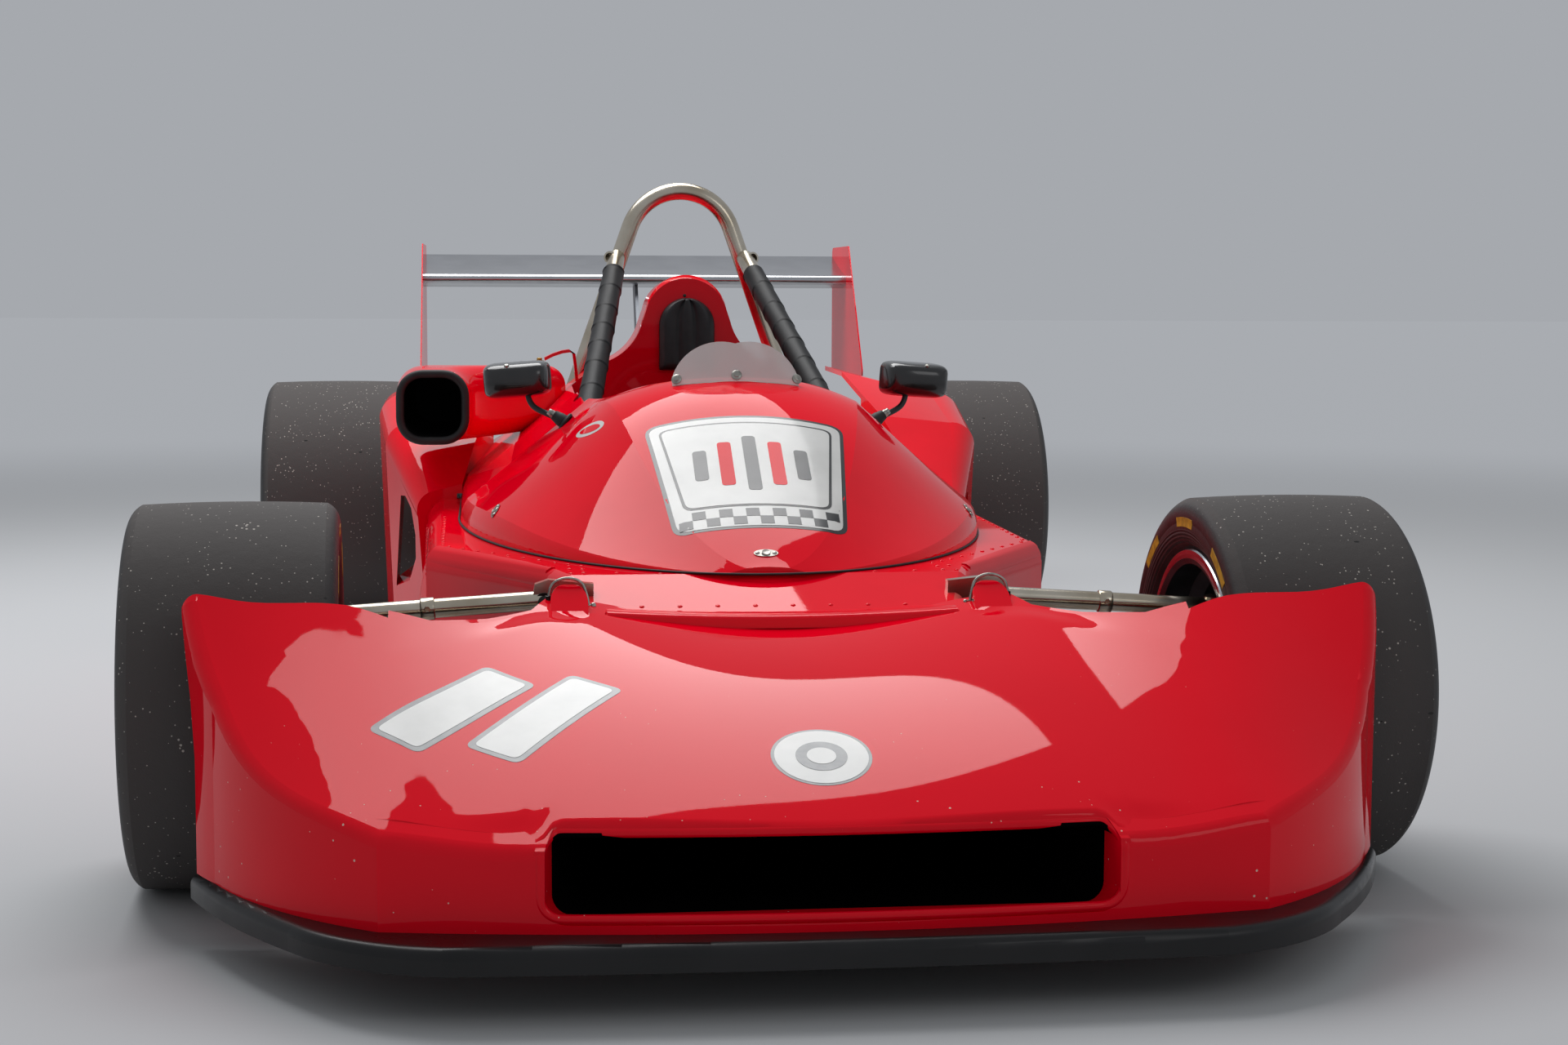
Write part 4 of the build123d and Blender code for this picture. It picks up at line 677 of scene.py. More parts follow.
# The nose's wire bails: each is a sprung steel wire in two clips on the footbox, swung over a tab of the
# nose, its ball end pressed home. They are zinc plated, and dull grey; the clips are oiled black steel.
plated_steel = new_finish("zinc_plated_steel", ("#8F8D86", "#B5B3AB"), 12, (0.22, 0.45), 1.0)
dark_steel = new_finish("oiled_black_steel", ("#1E1D1D", "#3A3938"), 10, (0.3, 0.5), 0.8)
BAIL = (
    (302, -107, 376), (302, -106, 396), (296, -106, 411), (277, -106, 417), (259, -107, 411),
    (253, -110, 396), (250, -114, 380),
)
BAIL_R = 2.1
BALL_END = ((0, 0), (2.6, 0.4), (3.4, 2), (3.4, 4), (2.4, 5.4), (2.4, 11), (4.2, 12.5), (4.6, 15), (3, 17.6), (0, 18))
BALL_NECK = ((2.2, 0), (2.8, 1), (2.8, 8), (2.2, 9), (0, 9.4))
CLIP_RING = ((2.4, -4), (3.9, -3.4), (3.9, 3.4), (2.4, 4))
CLIP_FOOT = ((0, -3), (7, -2.6), (7, 0), (5, 1.6), (3.2, 2), (3, 7), (0, 7.4))
bail_ends = bmesh.new()
clips = bmesh.new()
for side, name in ((1, "left"), (-1, "right")):
    points = [at(side * x, y, z) for x, y, z in BAIL]
    wire(f"nose_bail_{name}", points, BAIL_R, plated_steel)
    turn(bail_ends, points[-1] - SIDEWAYS * (9 * MM), SIDEWAYS, BALL_END, 14)
    turn(bail_ends, points[-1] - UP * (9 * MM), UP, BALL_NECK, 12)
    for height in (0, 13):
        turn(clips, points[0] + UP * (height * MM), UP, CLIP_RING, 14)
    turn(clips, at(side * 302, -104, 371), UP, CLIP_FOOT)
piece("nose_bail_ends", bail_ends, plated_steel)
piece("nose_bail_clips", clips, dark_steel)

# The cockpit panel: a domed glass fibre cover over the driver's legs, laid up and painted like the nose.
# A black bead along its edge is painted shade of the gap under it, and three quarter-turn fasteners in steel plates
# hold it down.
cover_with(red_enamel, "cockpit_panel")
# Black rubber for the trunk's trim and the mirror boots; as the panel's edge bead it is painted gap shade.
rubber_and_gap_shade = new_finish("black_rubber_and_gap_shade", ("#0A0A0B", "#171718"), 20, 0.6)
PANEL_LONG = 885.0
PANEL_WIDEST = 919.0
PANEL_HALF = 430.0
GAP_SHADE_HEIGHT = 401.6
# The edge bead is painted shade: a black line for the shadowed gap where the panel meets the tub.
gap_shade_line = []
for k in range(-24, 25):
    angle = math.radians(90 * k / 24)
    x = (PANEL_HALF + 0.8) * math.sin(angle)
    gap_shade_line.append(at(x, PANEL_WIDEST - (PANEL_LONG + 0.8) * math.cos(angle), GAP_SHADE_HEIGHT))
gap_shade_line = [at(-PANEL_HALF - 0.8, 1900, GAP_SHADE_HEIGHT)] + gap_shade_line + [at(PANEL_HALF + 0.8, 1900, GAP_SHADE_HEIGHT)]
wire("panel_gap_shade_bead", gap_shade_line, 1.8, rubber_and_gap_shade)
FASTENERS = (((0, 69), 0.0), ((-369, 519), 62.0), ((366, 498), -62.0))
PLATE_WIDE = 34.0
PLATE_TALL = 16.0
plates = bmesh.new()
studs = bmesh.new()
for centre, spin in FASTENERS:
    lay_film(plates, "cockpit_panel", centre, oval(PLATE_WIDE, PLATE_TALL, 28), 1.3, spin, 6.0)
    place, normal = on_top("cockpit_panel", *centre)
    turn(studs, place, normal, ((6.2, 0.6), (6.2, 2.4), (5.4, 3.0), (4.6, 2.6), (0.0, 2.6)), 24)
    across = REARWARDS.cross(normal).normalized()
    along = Matrix.Rotation(math.radians(spin), 3, normal) @ across
    for end in (1, -1):
        turn(studs, place + along * (end * 12 * MM) + normal * MM, normal, RIVET, 12)
piece("panel_fastener_plates", plates, plated_steel)
piece("panel_fastener_studs", studs, plated_steel)

# The windscreen: a low curved blade of clear acrylic, blown over a form and trimmed, with a polished edge.
# Its pale milky colour is partly age haze and partly painted reflection of the bright sky. Three screws in cup washers
# hold it to the dome.
# Painted reflection: the near-white, partly opaque base stands for haze and for the sky mirrored in the screen.
acrylic = new_finish("hazy_acrylic_and_painted_reflection", "#EFE9E8", None, 0.03, IOR=1.49, Transmission_Weight=0.42)
uneven(acrylic, grain(acrylic, 40, 3.0), 0.02, 0.14)
cover_with(acrylic, "windscreen")
screws = bmesh.new()
SCREEN_SCREWS = (-91, 0, 95)
SCREW_ABOVE_EDGE = 9.0
AHEAD_OF_SCREEN = 300
CUP_SCREW = ((8.0, 0), (8.0, 1.6), (5.0, 3.4), (4.6, 3.4), (4.2, 4.4), (0, 5.0))
for x in SCREEN_SCREWS:
    height = 561
    while surface("windscreen").ray_cast(at(x, AHEAD_OF_SCREEN, height), REARWARDS)[0] is None:
        height += 1
    turn(screws, *touch("windscreen", at(x, AHEAD_OF_SCREEN, height + SCREW_ABOVE_EDGE), REARWARDS), CUP_SCREW, 20)
piece("windscreen_screws", screws, plated_steel)

# The instrument panel: aluminium sheet painted satin black, under the dome's crown, with three round gauges.
# Each gauge has a black dial, plain white marks and a pointer, behind a turned bezel.
satin_black = new_finish("satin_black_enamel", ("#0E0E10", "#1C1C1F"), 40, (0.38, 0.55))
cover_with(satin_black, "dashboard")
DASH_BACK = 507.2
GAUGES = ((-92, 566, 26), (0, 566, 38), (92, 566, 26))
MARKS = 11
POINTER = 200  # degrees, with the engine off
bezels = bmesh.new()
dials = bmesh.new()
marks = bmesh.new()
for x, height, radius in GAUGES:
    centre = at(x, DASH_BACK, height)
    bezel = ((radius, 0), (radius + 1, 6), (radius - 1, 8), (radius - 3.5, 6.5), (radius - 4, 4))
    turn(bezels, centre, REARWARDS, bezel, 40)
    turn(dials, centre, REARWARDS, ((radius - 3, 4.4), (radius - 3.5, 5), (0, 5)), 40)
    strokes = [(225 - 270 * k / MARKS, 0.7, 0.84, 0.7) for k in range(MARKS)] + [(POINTER, 0.0, 0.78, 0.9)]
    for degrees, near, far, half in strokes:
        angle = math.radians(degrees)
        spoke = Vector((math.cos(angle), 0, math.sin(angle))) * radius
        wide = Vector((-math.sin(angle), 0, math.cos(angle))) * half
        grid = [[(centre + (spoke * share + wide * sign) * MM, REARWARDS) for sign in (-1, 1)] for share in (near, far)]
        sheet_over(marks, grid, 5.5, 0.6)
piece("gauge_bezels", bezels, plated_steel)
piece("gauge_dials", dials, black_vinyl)
piece("gauge_marks", marks, white_vinyl, smooth=False)

# The steering wheel: a steel ring bound in stitched black leather, and three alloy spokes on a long column.
# The leather has a small pebbled grain; the alloy is brushed and clean.
leather_and_alloy = new_finish("leather_bound_alloy", ("#A0A1A4", "#C0C1C4"), 25, 0.3, 0.9)
where = add(leather_and_alloy, "TexCoord", out="Object")
WHEEL_AT = at(0, 742, 500)
WHEEL_AXIS = (WHEEL_AT - at(0, -28, 300)).normalized()
BOUND_FROM = 111.5
arm = add(leather_and_alloy, "VectorMath", {0: where, 1: WHEEL_AT}, operation="SUBTRACT")
far = add(leather_and_alloy, "VectorMath", {0: arm}, "Value", operation="LENGTH")
beyond = add(leather_and_alloy, "Math", {0: far, 1: BOUND_FROM * MM}, operation="GREATER_THAN")
ahead = add(leather_and_alloy, "VectorMath", {0: arm, 1: WHEEL_AXIS}, "Value", operation="DOT_PRODUCT")
level_with = add(leather_and_alloy, "Math", {0: ahead, 1: 0.0, 2: 0.02}, operation="COMPARE")
over(leather_and_alloy, beyond, level_with, Base_Color="#151414", Metallic=0.0, Roughness=0.55)
relief(leather_and_alloy, grain(leather_and_alloy, 1.6, kind="TexVoronoi"), 0.1)
cover_with(leather_and_alloy, "steering_wheel")

# The seat: a reclined glass fibre bucket with a foam pad in black woven cloth, sewn in channels to the shell.
# The cloth is dull, with a soft sheen along its folds.
black_cloth = new_finish("black_woven_cloth", ("#111113", "#202024"), 35, 0.85, Sheen_Weight=0.3, Sheen_Roughness=0.4)
THREADS = 2.0
for way in ("X", "Z"):
    relief(black_cloth, waves(black_cloth, THREADS, way), 0.15)
SWELL_FRAMES = 20


def stuffed(name, front, back, sewn, finish, cap_mm):
    """A stuffed pad from a front and a back grid of points: air pressure swells what isn't sewn down."""
    form = bmesh.new()
    top, low, border = slab(form, front, back)
    form.verts.index_update()
    held = [vert.index for row in low for vert in row]
    for i, row in enumerate(top):
        held += [vert.index for j, vert in enumerate(row) if sewn(i, j) or (i, j) in border]
    pad = piece(name, form, finish)
    pad.vertex_groups.new(name="sewn").add(held, 1.0, "REPLACE")
    start = [vert.co.copy() for vert in pad.data.vertices]
    cloth = pad.modifiers.new("swell", "CLOTH")
    cloth.settings.vertex_group_mass = "sewn"
    cloth.settings.use_pressure = True
    cloth.settings.uniform_pressure_force = 4.0
    cloth.settings.effector_weights.gravity = 0.0
    cloth.collision_settings.use_collision = False
    cloth.point_cache.frame_start = 1
    cloth.point_cache.frame_end = SWELL_FRAMES
    for number in range(1, SWELL_FRAMES + 1):
        scene.frame_set(number)
    shaped = pad.evaluated_get(bpy.context.evaluated_depsgraph_get()).data
    ends = [vert.co.copy() for vert in shaped.vertices]
    pad.modifiers.remove(cloth)
    for vert, a, b in zip(pad.data.vertices, start, ends):
        step = b - a
        if step.length > cap_mm * MM:
            step *= cap_mm * MM / step.length
        vert.co = a + step
    scene.frame_set(1)
    smoother = pad.modifiers.new("smooth", "SUBSURF")
    smoother.levels = 1
    smoother.render_levels = 1
    return pad


SEAT_LINE = ((863, 148), (935, 112), (1011, 93), (1060, 91), (1110, 95), (1200, 200), (1290, 306), (1366, 398),
             (1400, 455), (1428, 515))
SEAT_HALF = 180.0
SEAT_THICK = 15.0
SEAT_CELL = 9.0
CHANNEL = 8  # cells between the seams that run across
SEAM_SINK = 3.5
line = []
for a, b in zip(SEAT_LINE, SEAT_LINE[1:]):
    count = max(1, round(math.dist(a, b) / SEAT_CELL))
    line += [tuple(p + (q - p) * k / count for p, q in zip(a, b)) for k in range(count)]
line.append(SEAT_LINE[-1])
across_count = 2 * round(SEAT_HALF / SEAT_CELL)
LENGTHWAYS_SEAMS = (0, 8, across_count // 2 - 6, across_count // 2 + 6, across_count - 8, across_count)


def seat_sewn(i, j):
    """Whether a point of the seat's front is on a seam."""
    return i % CHANNEL == 0 and LENGTHWAYS_SEAMS[1] <= j <= LENGTHWAYS_SEAMS[-2] or j in LENGTHWAYS_SEAMS


seat_front = []
seat_back = []
for i, (station, height) in enumerate(line):
    before = line[max(0, i - 2)]
    after = line[min(len(line) - 1, i + 2)]
    slope = Vector((0, after[0] - before[0], after[1] - before[1])).normalized()
    normal = SIDEWAYS.cross(slope)
    front_row = []
    back_row = []
    for j in range(across_count + 1):
        x = SEAT_HALF * (2 * j / across_count - 1)
        sink = SEAM_SINK if seat_sewn(i, j) else 0.0
        if i in (0, len(line) - 1) or j in (0, across_count):
            sink = SEAT_THICK / 2
        front_row.append(at(x, station, height) + normal * ((SEAT_THICK / 2 - sink) * MM))
        back_row.append(at(x, station, height) - normal * (SEAT_THICK / 2 * MM))
    seat_front.append(front_row)
    seat_back.append(back_row)
seat_pad = stuffed("seat_pad", seat_front, seat_back, seat_sewn, black_cloth, 7.0)
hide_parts("seat")

# The roll hoop: drawn steel tube, 34 mm across, bent and welded, then nickel plated. It shows warm grey
# with a faint brown bloom where the plate has dulled. The suspension links have the same plating.
nickel = new_finish("nickel_plated_steel", ("#B3A792", "#CFC7B8"), 90, (0.17, 0.28), 1.0, detail=3.0)
cover_with(nickel, "roll_hoop", "front_suspension_left", "front_suspension_right", "rear_suspension_left",
           "rear_suspension_right", "steering_rack", "rack_housing")

# The padding on the two forward braces: split foam tube bound in bands of wide black cloth tape, each band
# lapped over the last, which leaves a raised edge. The tape is dull black with a fine weave.
black_tape = new_finish("black_cloth_tape", ("#070708", "#101012"), 18, 0.5, Specular_IOR_Level=0.2)
relief(black_tape, grain(black_tape, 1.2), 0.08)
BRACE_TOP = (128.0, 1622.0, 850.0)
BRACE_FOOT = (261.8, 570.2, 400.0)
PADDING_FROM = 80.0
PADDING_TO = 700.0
TAPE_LAP = 88.0
TAPE_R = 20.6
TAPE_END_R = 17.4
TAPE_EDGE = 1.5
TAPE_SLANT = 8.0
TAPE_CELL = 2.25
TAPE_SIDES = 36
for side, name in ((1, "left"), (-1, "right")):
    start = at(side * BRACE_TOP[0], *BRACE_TOP[1:])
    end = at(side * BRACE_FOOT[0], *BRACE_FOOT[1:])
    axis = (end - start).normalized()
    lie = axis.to_track_quat("Z", "Y").to_matrix()
    rings = []
    count = round((PADDING_TO - PADDING_FROM) / TAPE_CELL)
    for k in range(count + 1):
        distance = PADDING_FROM + (PADDING_TO - PADDING_FROM) * k / count
        ring = []
        for angle in around(TAPE_SIDES):
            wound = distance + 7 * math.sin(distance / 63) + TAPE_SLANT * math.sin(angle) * side
            lap = (wound / TAPE_LAP % 1.0) ** 3
            crease = 0.35 * math.sin(3 * angle + distance / 37) + 0.2 * math.sin(distance / 11 + 2 * angle)
            radius = TAPE_END_R if k in (0, count) else TAPE_R + TAPE_EDGE * lap + crease * 0.5
            offset = Vector((radius * math.cos(angle), radius * math.sin(angle), 0)) * MM
            ring.append(start + axis * (distance * MM) + lie @ offset)
        rings.append(ring)
    form = bmesh.new()
    bridge(form, rings, (0, -1))
    padding = piece(f"taped_padding_{name}", form, black_tape)
    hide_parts("hoop_padding")

# The head pad: closed foam in black vinyl cloth, arched at the top, stitched in three upright panels and
# glued to the hump's face. The vinyl has a fine leather grain and a low shine.
black_pad = new_finish("black_vinyl_cloth", ("#0C0C0E", "#1A1A1D"), 20, 0.45)
relief(black_pad, grain(black_pad, 1.4), 0.1)
PAD_HALF = 54.0
PAD_LOW = 632.0
PAD_SPRING = 718.0  # where its arch begins
PAD_FRONT = 1454.0
PAD_BACK = 1475.4
PAD_COLUMNS = 18
PAD_SEAMS = (6, 12)
pad_rows = [(PAD_HALF, PAD_LOW + (PAD_SPRING - PAD_LOW) * k / 12) for k in range(12)]
for k in range(13):
    angle = math.radians(84 * k / 12)
    pad_rows.append((PAD_HALF * math.cos(angle), PAD_SPRING + PAD_HALF * math.sin(angle)))


pad_front = []
pad_back = []
for i, (half, height) in enumerate(pad_rows):
    front_row = []
    back_row = []
    for j in range(PAD_COLUMNS + 1):
        share = 2 * j / PAD_COLUMNS - 1
        inset = 1.0 - 5.0 / PAD_HALF
        sunk = 5.0 if j in PAD_SEAMS else 0.0
        if i in (0, len(pad_rows) - 1) or j in (0, PAD_COLUMNS):
            sunk = 9.0
            inset = 1.0
        z = PAD_LOW + (height - PAD_LOW) * (1.0 if inset == 1.0 else 0.985)
        front_row.append(at(half * share * inset, PAD_FRONT + sunk, z))
        back_row.append(at(half * share, PAD_BACK, height))
    pad_front.append(front_row)
    pad_back.append(back_row)
head_pad = stuffed("head_pad", pad_front, pad_back, lambda i, j: j in PAD_SEAMS, black_pad, 6.0)
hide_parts("headrest_pad")

# Small things on the rear cover: a screw in the hump's face, a bent sheet tab beside the hump, and a brass cap
# with a plated union on the trunk's end. The brass is turned and has tarnished a little.
brass = new_finish("turned_brass", ("#96742F", "#C29A48"), 6, (0.22, 0.4), 1.0)
BRASS_CAP = ((9, -2), (9, 9), (8, 10), (5, 10.4), (5, 14), (4, 15), (0, 15))
UNION = ((7, -2), (7, 4), (4.5, 5), (4.5, 8), (0, 9))
UNION_STATION = 1446
small_brass = bmesh.new()
turn(small_brass, on_top("intake_trunk", -284, UNION_STATION)[0], UP, BRASS_CAP, 6)
piece("trunk_brass_cap", small_brass, brass)
small_steel = bmesh.new()
for x in (-303, -318):
    turn(small_steel, on_top("intake_trunk", x, UNION_STATION)[0], UP, UNION, 6)
face = touch("rear_cover", at(-4, 1300, 776), REARWARDS)
turn(small_steel, *face, ((3.2, -0.5), (3.2, 0.8), (2.4, 1.4), (0, 1.4)), 12)
piece("cover_screws", small_steel, dark_steel)
TAB_BENDS = ((-214, 608), (-217, 640), (-220, 664), (-226, 672), (-240, 670), (-258, 664), (-274, 656))
grid = []
for x, z in TAB_BENDS:
    lean = Vector((-0.2, 0, 1)) if z > 668 or x < -230 else Vector((-1, 0, 0.1))
    grid.append([(at(x, station, z), lean.normalized()) for station in (1484, 1492, 1508, 1516)])
tab = bmesh.new()
sheet_over(tab, grid, 0.0, 6.0)
piece("cover_tab", tab, red_enamel)

# The air trunk: glass fibre, red outside, with a thick black rubber trim round its mouth.
# Inside, a matt near-black sheet is painted shade of the deep bore, which shows almost no light.
TRUNK_MIDDLES = ((1101, -478, 579), (1200, -472, 581), (1330, -432, 581), (1432, -396, 584))
MOUTH_TRIM = 7.5
# Painted shade for the trunk's bore: near black and matt.
matt_black = new_finish("matt_black_trunk_shade", ("#050506", "#0C0C0D"), 40, 0.8)
trim_line = [at(-478 + x, 1099, 579 + z) for x, z in filled_out(rounded(114, 118, 39), 12)]
wire("trunk_mouth_trim", trim_line, MOUTH_TRIM, rubber_and_gap_shade, closed=True)
# Painted shade: a near-black matt sheet 0.8 mm inside the bore's wall.
grid = []
for first, last in zip(TRUNK_MIDDLES, TRUNK_MIDDLES[1:]):
    for k in range(6):
        station, x, height = [a + (b - a) * k / 6 for a, b in zip(first, last)]
        ways = [Vector((math.cos(angle), 0, math.sin(angle))) for angle in around(40)]
        ring = [touch("intake_trunk", at(x, station + 4, height), way) for way in ways]
        grid.append([p + n * (0.8 * MM) for p, n in ring])
shade_sheet = bmesh.new()
bridge(shade_sheet, grid, (-1,))
piece("trunk_shade_sheet", shade_sheet, matt_black)

# Engine: sand cast aluminium block and head, black crackle cam covers, spun inlet trumpets and a steel exhaust
# that heat has browned. The gearbox and uprights are cast magnesium, dulled by oil.
cast_alloy = new_finish("sand_cast_aluminium", ("#66666A", "#9C9DA0"), 60, (0.42, 0.65), 0.9, detail=6.0)
relief(cast_alloy, grain(cast_alloy, 2.0, 4.0), 0.15)
CAM_COVERS = ((-86, 1690, 484), (86, 2160, 560))
EXHAUST = ((112, 1700, 395), (240, 2900, 480))
TRUMPETS = ((-260, 1700, 440), (-170, 2160, 540))
over(cast_alloy, inside(cast_alloy, *CAM_COVERS), Base_Color="#17181A", Metallic=0.0)
over(cast_alloy, inside(cast_alloy, *EXHAUST), Base_Color="#5A4638", Metallic=0.85, Roughness=0.55)
over(cast_alloy, inside(cast_alloy, *TRUMPETS), Base_Color="#C2C3C6", Metallic=1.0, Roughness=0.22)
cover_with(cast_alloy, "engine")
magnesium = new_finish("cast_magnesium", ("#54524D", "#7E7B73"), 70, (0.42, 0.62), 0.7, detail=6.0)
relief(magnesium, grain(magnesium, 2.0, 4.0), 0.15)
cover_with(magnesium, "gearbox", "front_knuckle_left", "front_knuckle_right")
HEX_HEAD = ((6.0, 0), (6.0, 5.0), (5.2, 5.8), (0, 5.8))
CASE_BOLTS_R = 98
bolts = bmesh.new()
for x in (-76, -28, 28, 76):
    for station in range(1722, 2150, 70):
        turn(bolts, *touch("engine", at(x, station, 700), -UP), HEX_HEAD, 6)
for angle in around(12):
    place = at(CASE_BOLTS_R * math.cos(angle), 2706, 250 + CASE_BOLTS_R * math.sin(angle))
    turn(bolts, place, REARWARDS, HEX_HEAD, 6)
piece("engine_bolts", bolts, plated_steel, smooth=False)

# Wheels: cast magnesium centres in alloy rims with polished lips, held by six nuts. The centres are painted
# dark grey; the brake discs are ground cast iron.
WHEELS = (("front", 254.0, 181.0), ("rear", 288.0, 194.0))  # the tyre's radius and the rim flange's
NUT = ((9.5, -6), (9.5, 2), (8, 3), (8, 12), (6.4, 14), (4, 14), (4, 18), (0, 18.5))
VALVE = ((4.5, -4), (4.5, 4), (3, 5), (3, 20), (4, 21), (4, 28), (0, 29))
NUTS_R = 52
LIP_DEEP = 14
VALVE_IN = 45


def off_axle(finish, node):
    """How far a point is from the axle of a wheel's node, in metres."""
    where = add(finish, "TexCoord", out="Object")
    offset = add(finish, "VectorMath", {0: where, 1: middle(node)}, operation="SUBTRACT")
    flat = add(finish, "VectorMath", {0: offset, 1: (0, 1, 1)}, operation="MULTIPLY")
    return add(finish, "VectorMath", {0: flat}, "Value", operation="LENGTH")


def on_wheel(node, centre, sign, angle, radius, off=0.3):
    """The point of a wheel's face at an angle and a radius, seen along the axle from one side."""
    spot = centre + Vector((0, math.cos(angle), math.sin(angle))) * (radius * MM)
    return touch(node, spot + SIDEWAYS * (sign * off), SIDEWAYS * -sign)


for end, outer, flange in WHEELS:
    for side, sign in (("left", 1), ("right", -1)):
        node = f"{end}_rim_{side}"
        rim_alloy = new_finish(f"{end}_{side}_cast_rim", ("#1F2023", "#3A3B40"), 45, (0.32, 0.5), 0.6, detail=5.0)
        lip = add(rim_alloy, "Math", {0: off_axle(rim_alloy, node), 1: (flange - LIP_DEEP) * MM},
                  operation="GREATER_THAN")
        over(rim_alloy, lip, Base_Color="#B9BABE", Metallic=1.0, Roughness=0.18)
        cover_with(rim_alloy, node)
        form = bmesh.new()
        centre = middle(node)
        for k in range(6):
            place, _ = on_wheel(node, centre, sign, 2 * math.pi * (k + 0.5) / 6, NUTS_R)
            turn(form, place, SIDEWAYS * sign, NUT, 6)
        place, _ = on_wheel(node, centre, sign, math.radians(100 if end == "front" else 250), flange - VALVE_IN)
        turn(form, place, SIDEWAYS * sign, VALVE, 12)
        piece(f"{end}_wheel_nuts_{side}", form, plated_steel, body=f"{end}_wheel_{side}")
disc_iron = new_finish("ground_cast_iron", ("#5E5853", "#88827D"), 15, (0.3, 0.5), 1.0)
cover_with(disc_iron, "front_hub_left", "front_hub_right", "half_shaft_left", "half_shaft_right")

# Tyres: cross-ply racing slicks. The tread is scrubbed to a grey, dusty grain with small cuts across it; the
# sidewalls stay smooth and dark, with fine moulded ribs and a broken ring of plain yellow bars in rubber ink.
yellow_ink = new_finish("yellow_rubber_ink", ("#A67A1C", "#CE9A20"), 9, 0.6)
BARS = 9
BAR_SPAN = 17.0  # degrees
BAR_TALL = 13.0
TREAD_GREY = "#494544"
DUST = "#B4AEA7"
CUT_BLACK = "#121112"
CUT = (1000 / 13, 1000 / 31, 1000 / 31)
RIB_GAP = 5
for end, outer, flange in WHEELS:
    for side in ("left", "right"):
        node = f"{end}_tyre_{side}"
        rubber = new_finish(f"{end}_{side}_slick_rubber", ("#171617", "#232223"), 40, 0.5, detail=5.0)
        radius = off_axle(rubber, node)
        tread = add(rubber, "MapRange", {"Value": radius, "From Min": (outer - 15) * MM, "From Max": (outer - 5) * MM})
        over(rubber, tread, Base_Color=TREAD_GREY, Roughness=0.85)
        speck = add(rubber, "MapRange", {"Value": grain(rubber, 45, 5.0), "From Min": 0.36, "From Max": 0.7,
                                         "To Min": 0.03, "To Max": 0.2})
        grit = grain(rubber, 8, 0.0, "TexVoronoi")
        over(rubber, add(rubber, "Math", {0: grit, 1: speck}, operation="LESS_THAN"), tread, Base_Color=DUST)
        nick = grain(rubber, CUT, 0.0, "TexVoronoi")
        over(rubber, add(rubber, "Math", {0: nick, 1: 0.055}, operation="LESS_THAN"), tread, Base_Color=CUT_BLACK)
        relief(rubber, grain(rubber, 2.2, 6.0), 0.3)
        relief(rubber, grain(rubber, 16, 3.0), 0.6)
        rib = add(rubber, "Math", {0: radius, 1: 2 * math.pi / (RIB_GAP * MM)}, operation="MULTIPLY")
        rib = add(rubber, "Math", {0: rib}, operation="SINE")
        band = add(rubber, "Math", {0: radius, 1: (flange + 16) * MM, 2: 10 * MM}, operation="COMPARE")
        relief(rubber, add(rubber, "Math", {0: rib, 1: band}, operation="MULTIPLY"), 0.5)
        cover_with(rubber, node)
        form = bmesh.new()
        centre = middle(node)
        radii = [(outer + flange) / 2 + BAR_TALL * share for share in (-0.5, 0.0, 0.5)]
        for face_way in (1, -1):
            for bar in range(BARS):
                angles = [math.radians(360 * bar / BARS + BAR_SPAN * k / 8) for k in range(9)]
                grid = [[on_wheel(node, centre, face_way, angle, r, 0.4) for r in radii] for angle in angles]
                sheet_over(form, grid, 0.5, 0.8)
        piece(f"{end}_tyre_bars_{side}", form, yellow_ink, body=f"{end}_wheel_{side}")

# The rear wing: folded aluminium sheet over ribs, polished by hand in long strokes across the car, between two
# thin red end plates. Bolts through the plates hold it. Its post is brushed aluminium plate, left dull.
polished_alloy = new_finish("polished_aluminium", ("#B4B5B8", "#BDBEC1"), 80, (0.17, 0.21), 1.0, detail=5.0)
STROKE = (1000 / 6, 1000 / 300, 1000 / 300)
relief(polished_alloy, grain(polished_alloy, STROKE, 4.0), 0.03)
cover_with(polished_alloy, "rear_wing")
dull_alloy = new_finish("brushed_aluminium", ("#6E7176", "#888B90"), 40, (0.42, 0.6), 1.0)
cover_with(dull_alloy, "wing_post")
cover_with(red_enamel, "wing_endplates")
PLATE_BOLTS = ((3180, 812), (3260, 812), (3350, 836))
WASHERED_BOLT = ((8, 0), (8, 1.2), (4.6, 1.4), (4.6, 3.0), (3.6, 3.6), (0, 3.8))
bolts = bmesh.new()
for side in (1, -1):
    for station, height in PLATE_BOLTS:
        place, _ = on_side("wing_endplates", side, station, height)
        turn(bolts, place, SIDEWAYS * side, WASHERED_BOLT, 18)
piece("end_plate_bolts", bolts, plated_steel)

# The front links: plated tube with a clamp collar near the inner end of each, drawn tight by a small screw, and
# a pivot bolt in each bracket on the tub.
CLAMP = ((12.2, -10), (14.6, -9), (15.2, -8), (15.2, 8), (14.6, 9), (12.2, 10))
CLAMP_SCREW = ((4.6, -2), (4.6, 1.5), (3.6, 2.4), (0, 2.4))
PIVOT_BOLT = ((12, -1), (12, 1.6), (8, 1.8), (8, 7), (6.6, 8), (0, 8.2))
pivots = bmesh.new()
collars = bmesh.new()
for side in (1, -1):
    inner = at(side * 300, 0, 374)
    along = (at(side * 608, 0, 354) - inner).normalized()
    spot = inner + along * (160 * MM)
    turn(collars, spot, along, CLAMP, 28)
    turn(collars, spot + Vector((0, -15 * MM, 2 * MM)), -REARWARDS, CLAMP_SCREW, 6)
    turn(pivots, at(side * 306, -9, 373), -REARWARDS, PIVOT_BOLT, 18)
piece("front_pivot_bolts", pivots, dark_steel)
piece("front_link_collars", collars, nickel)

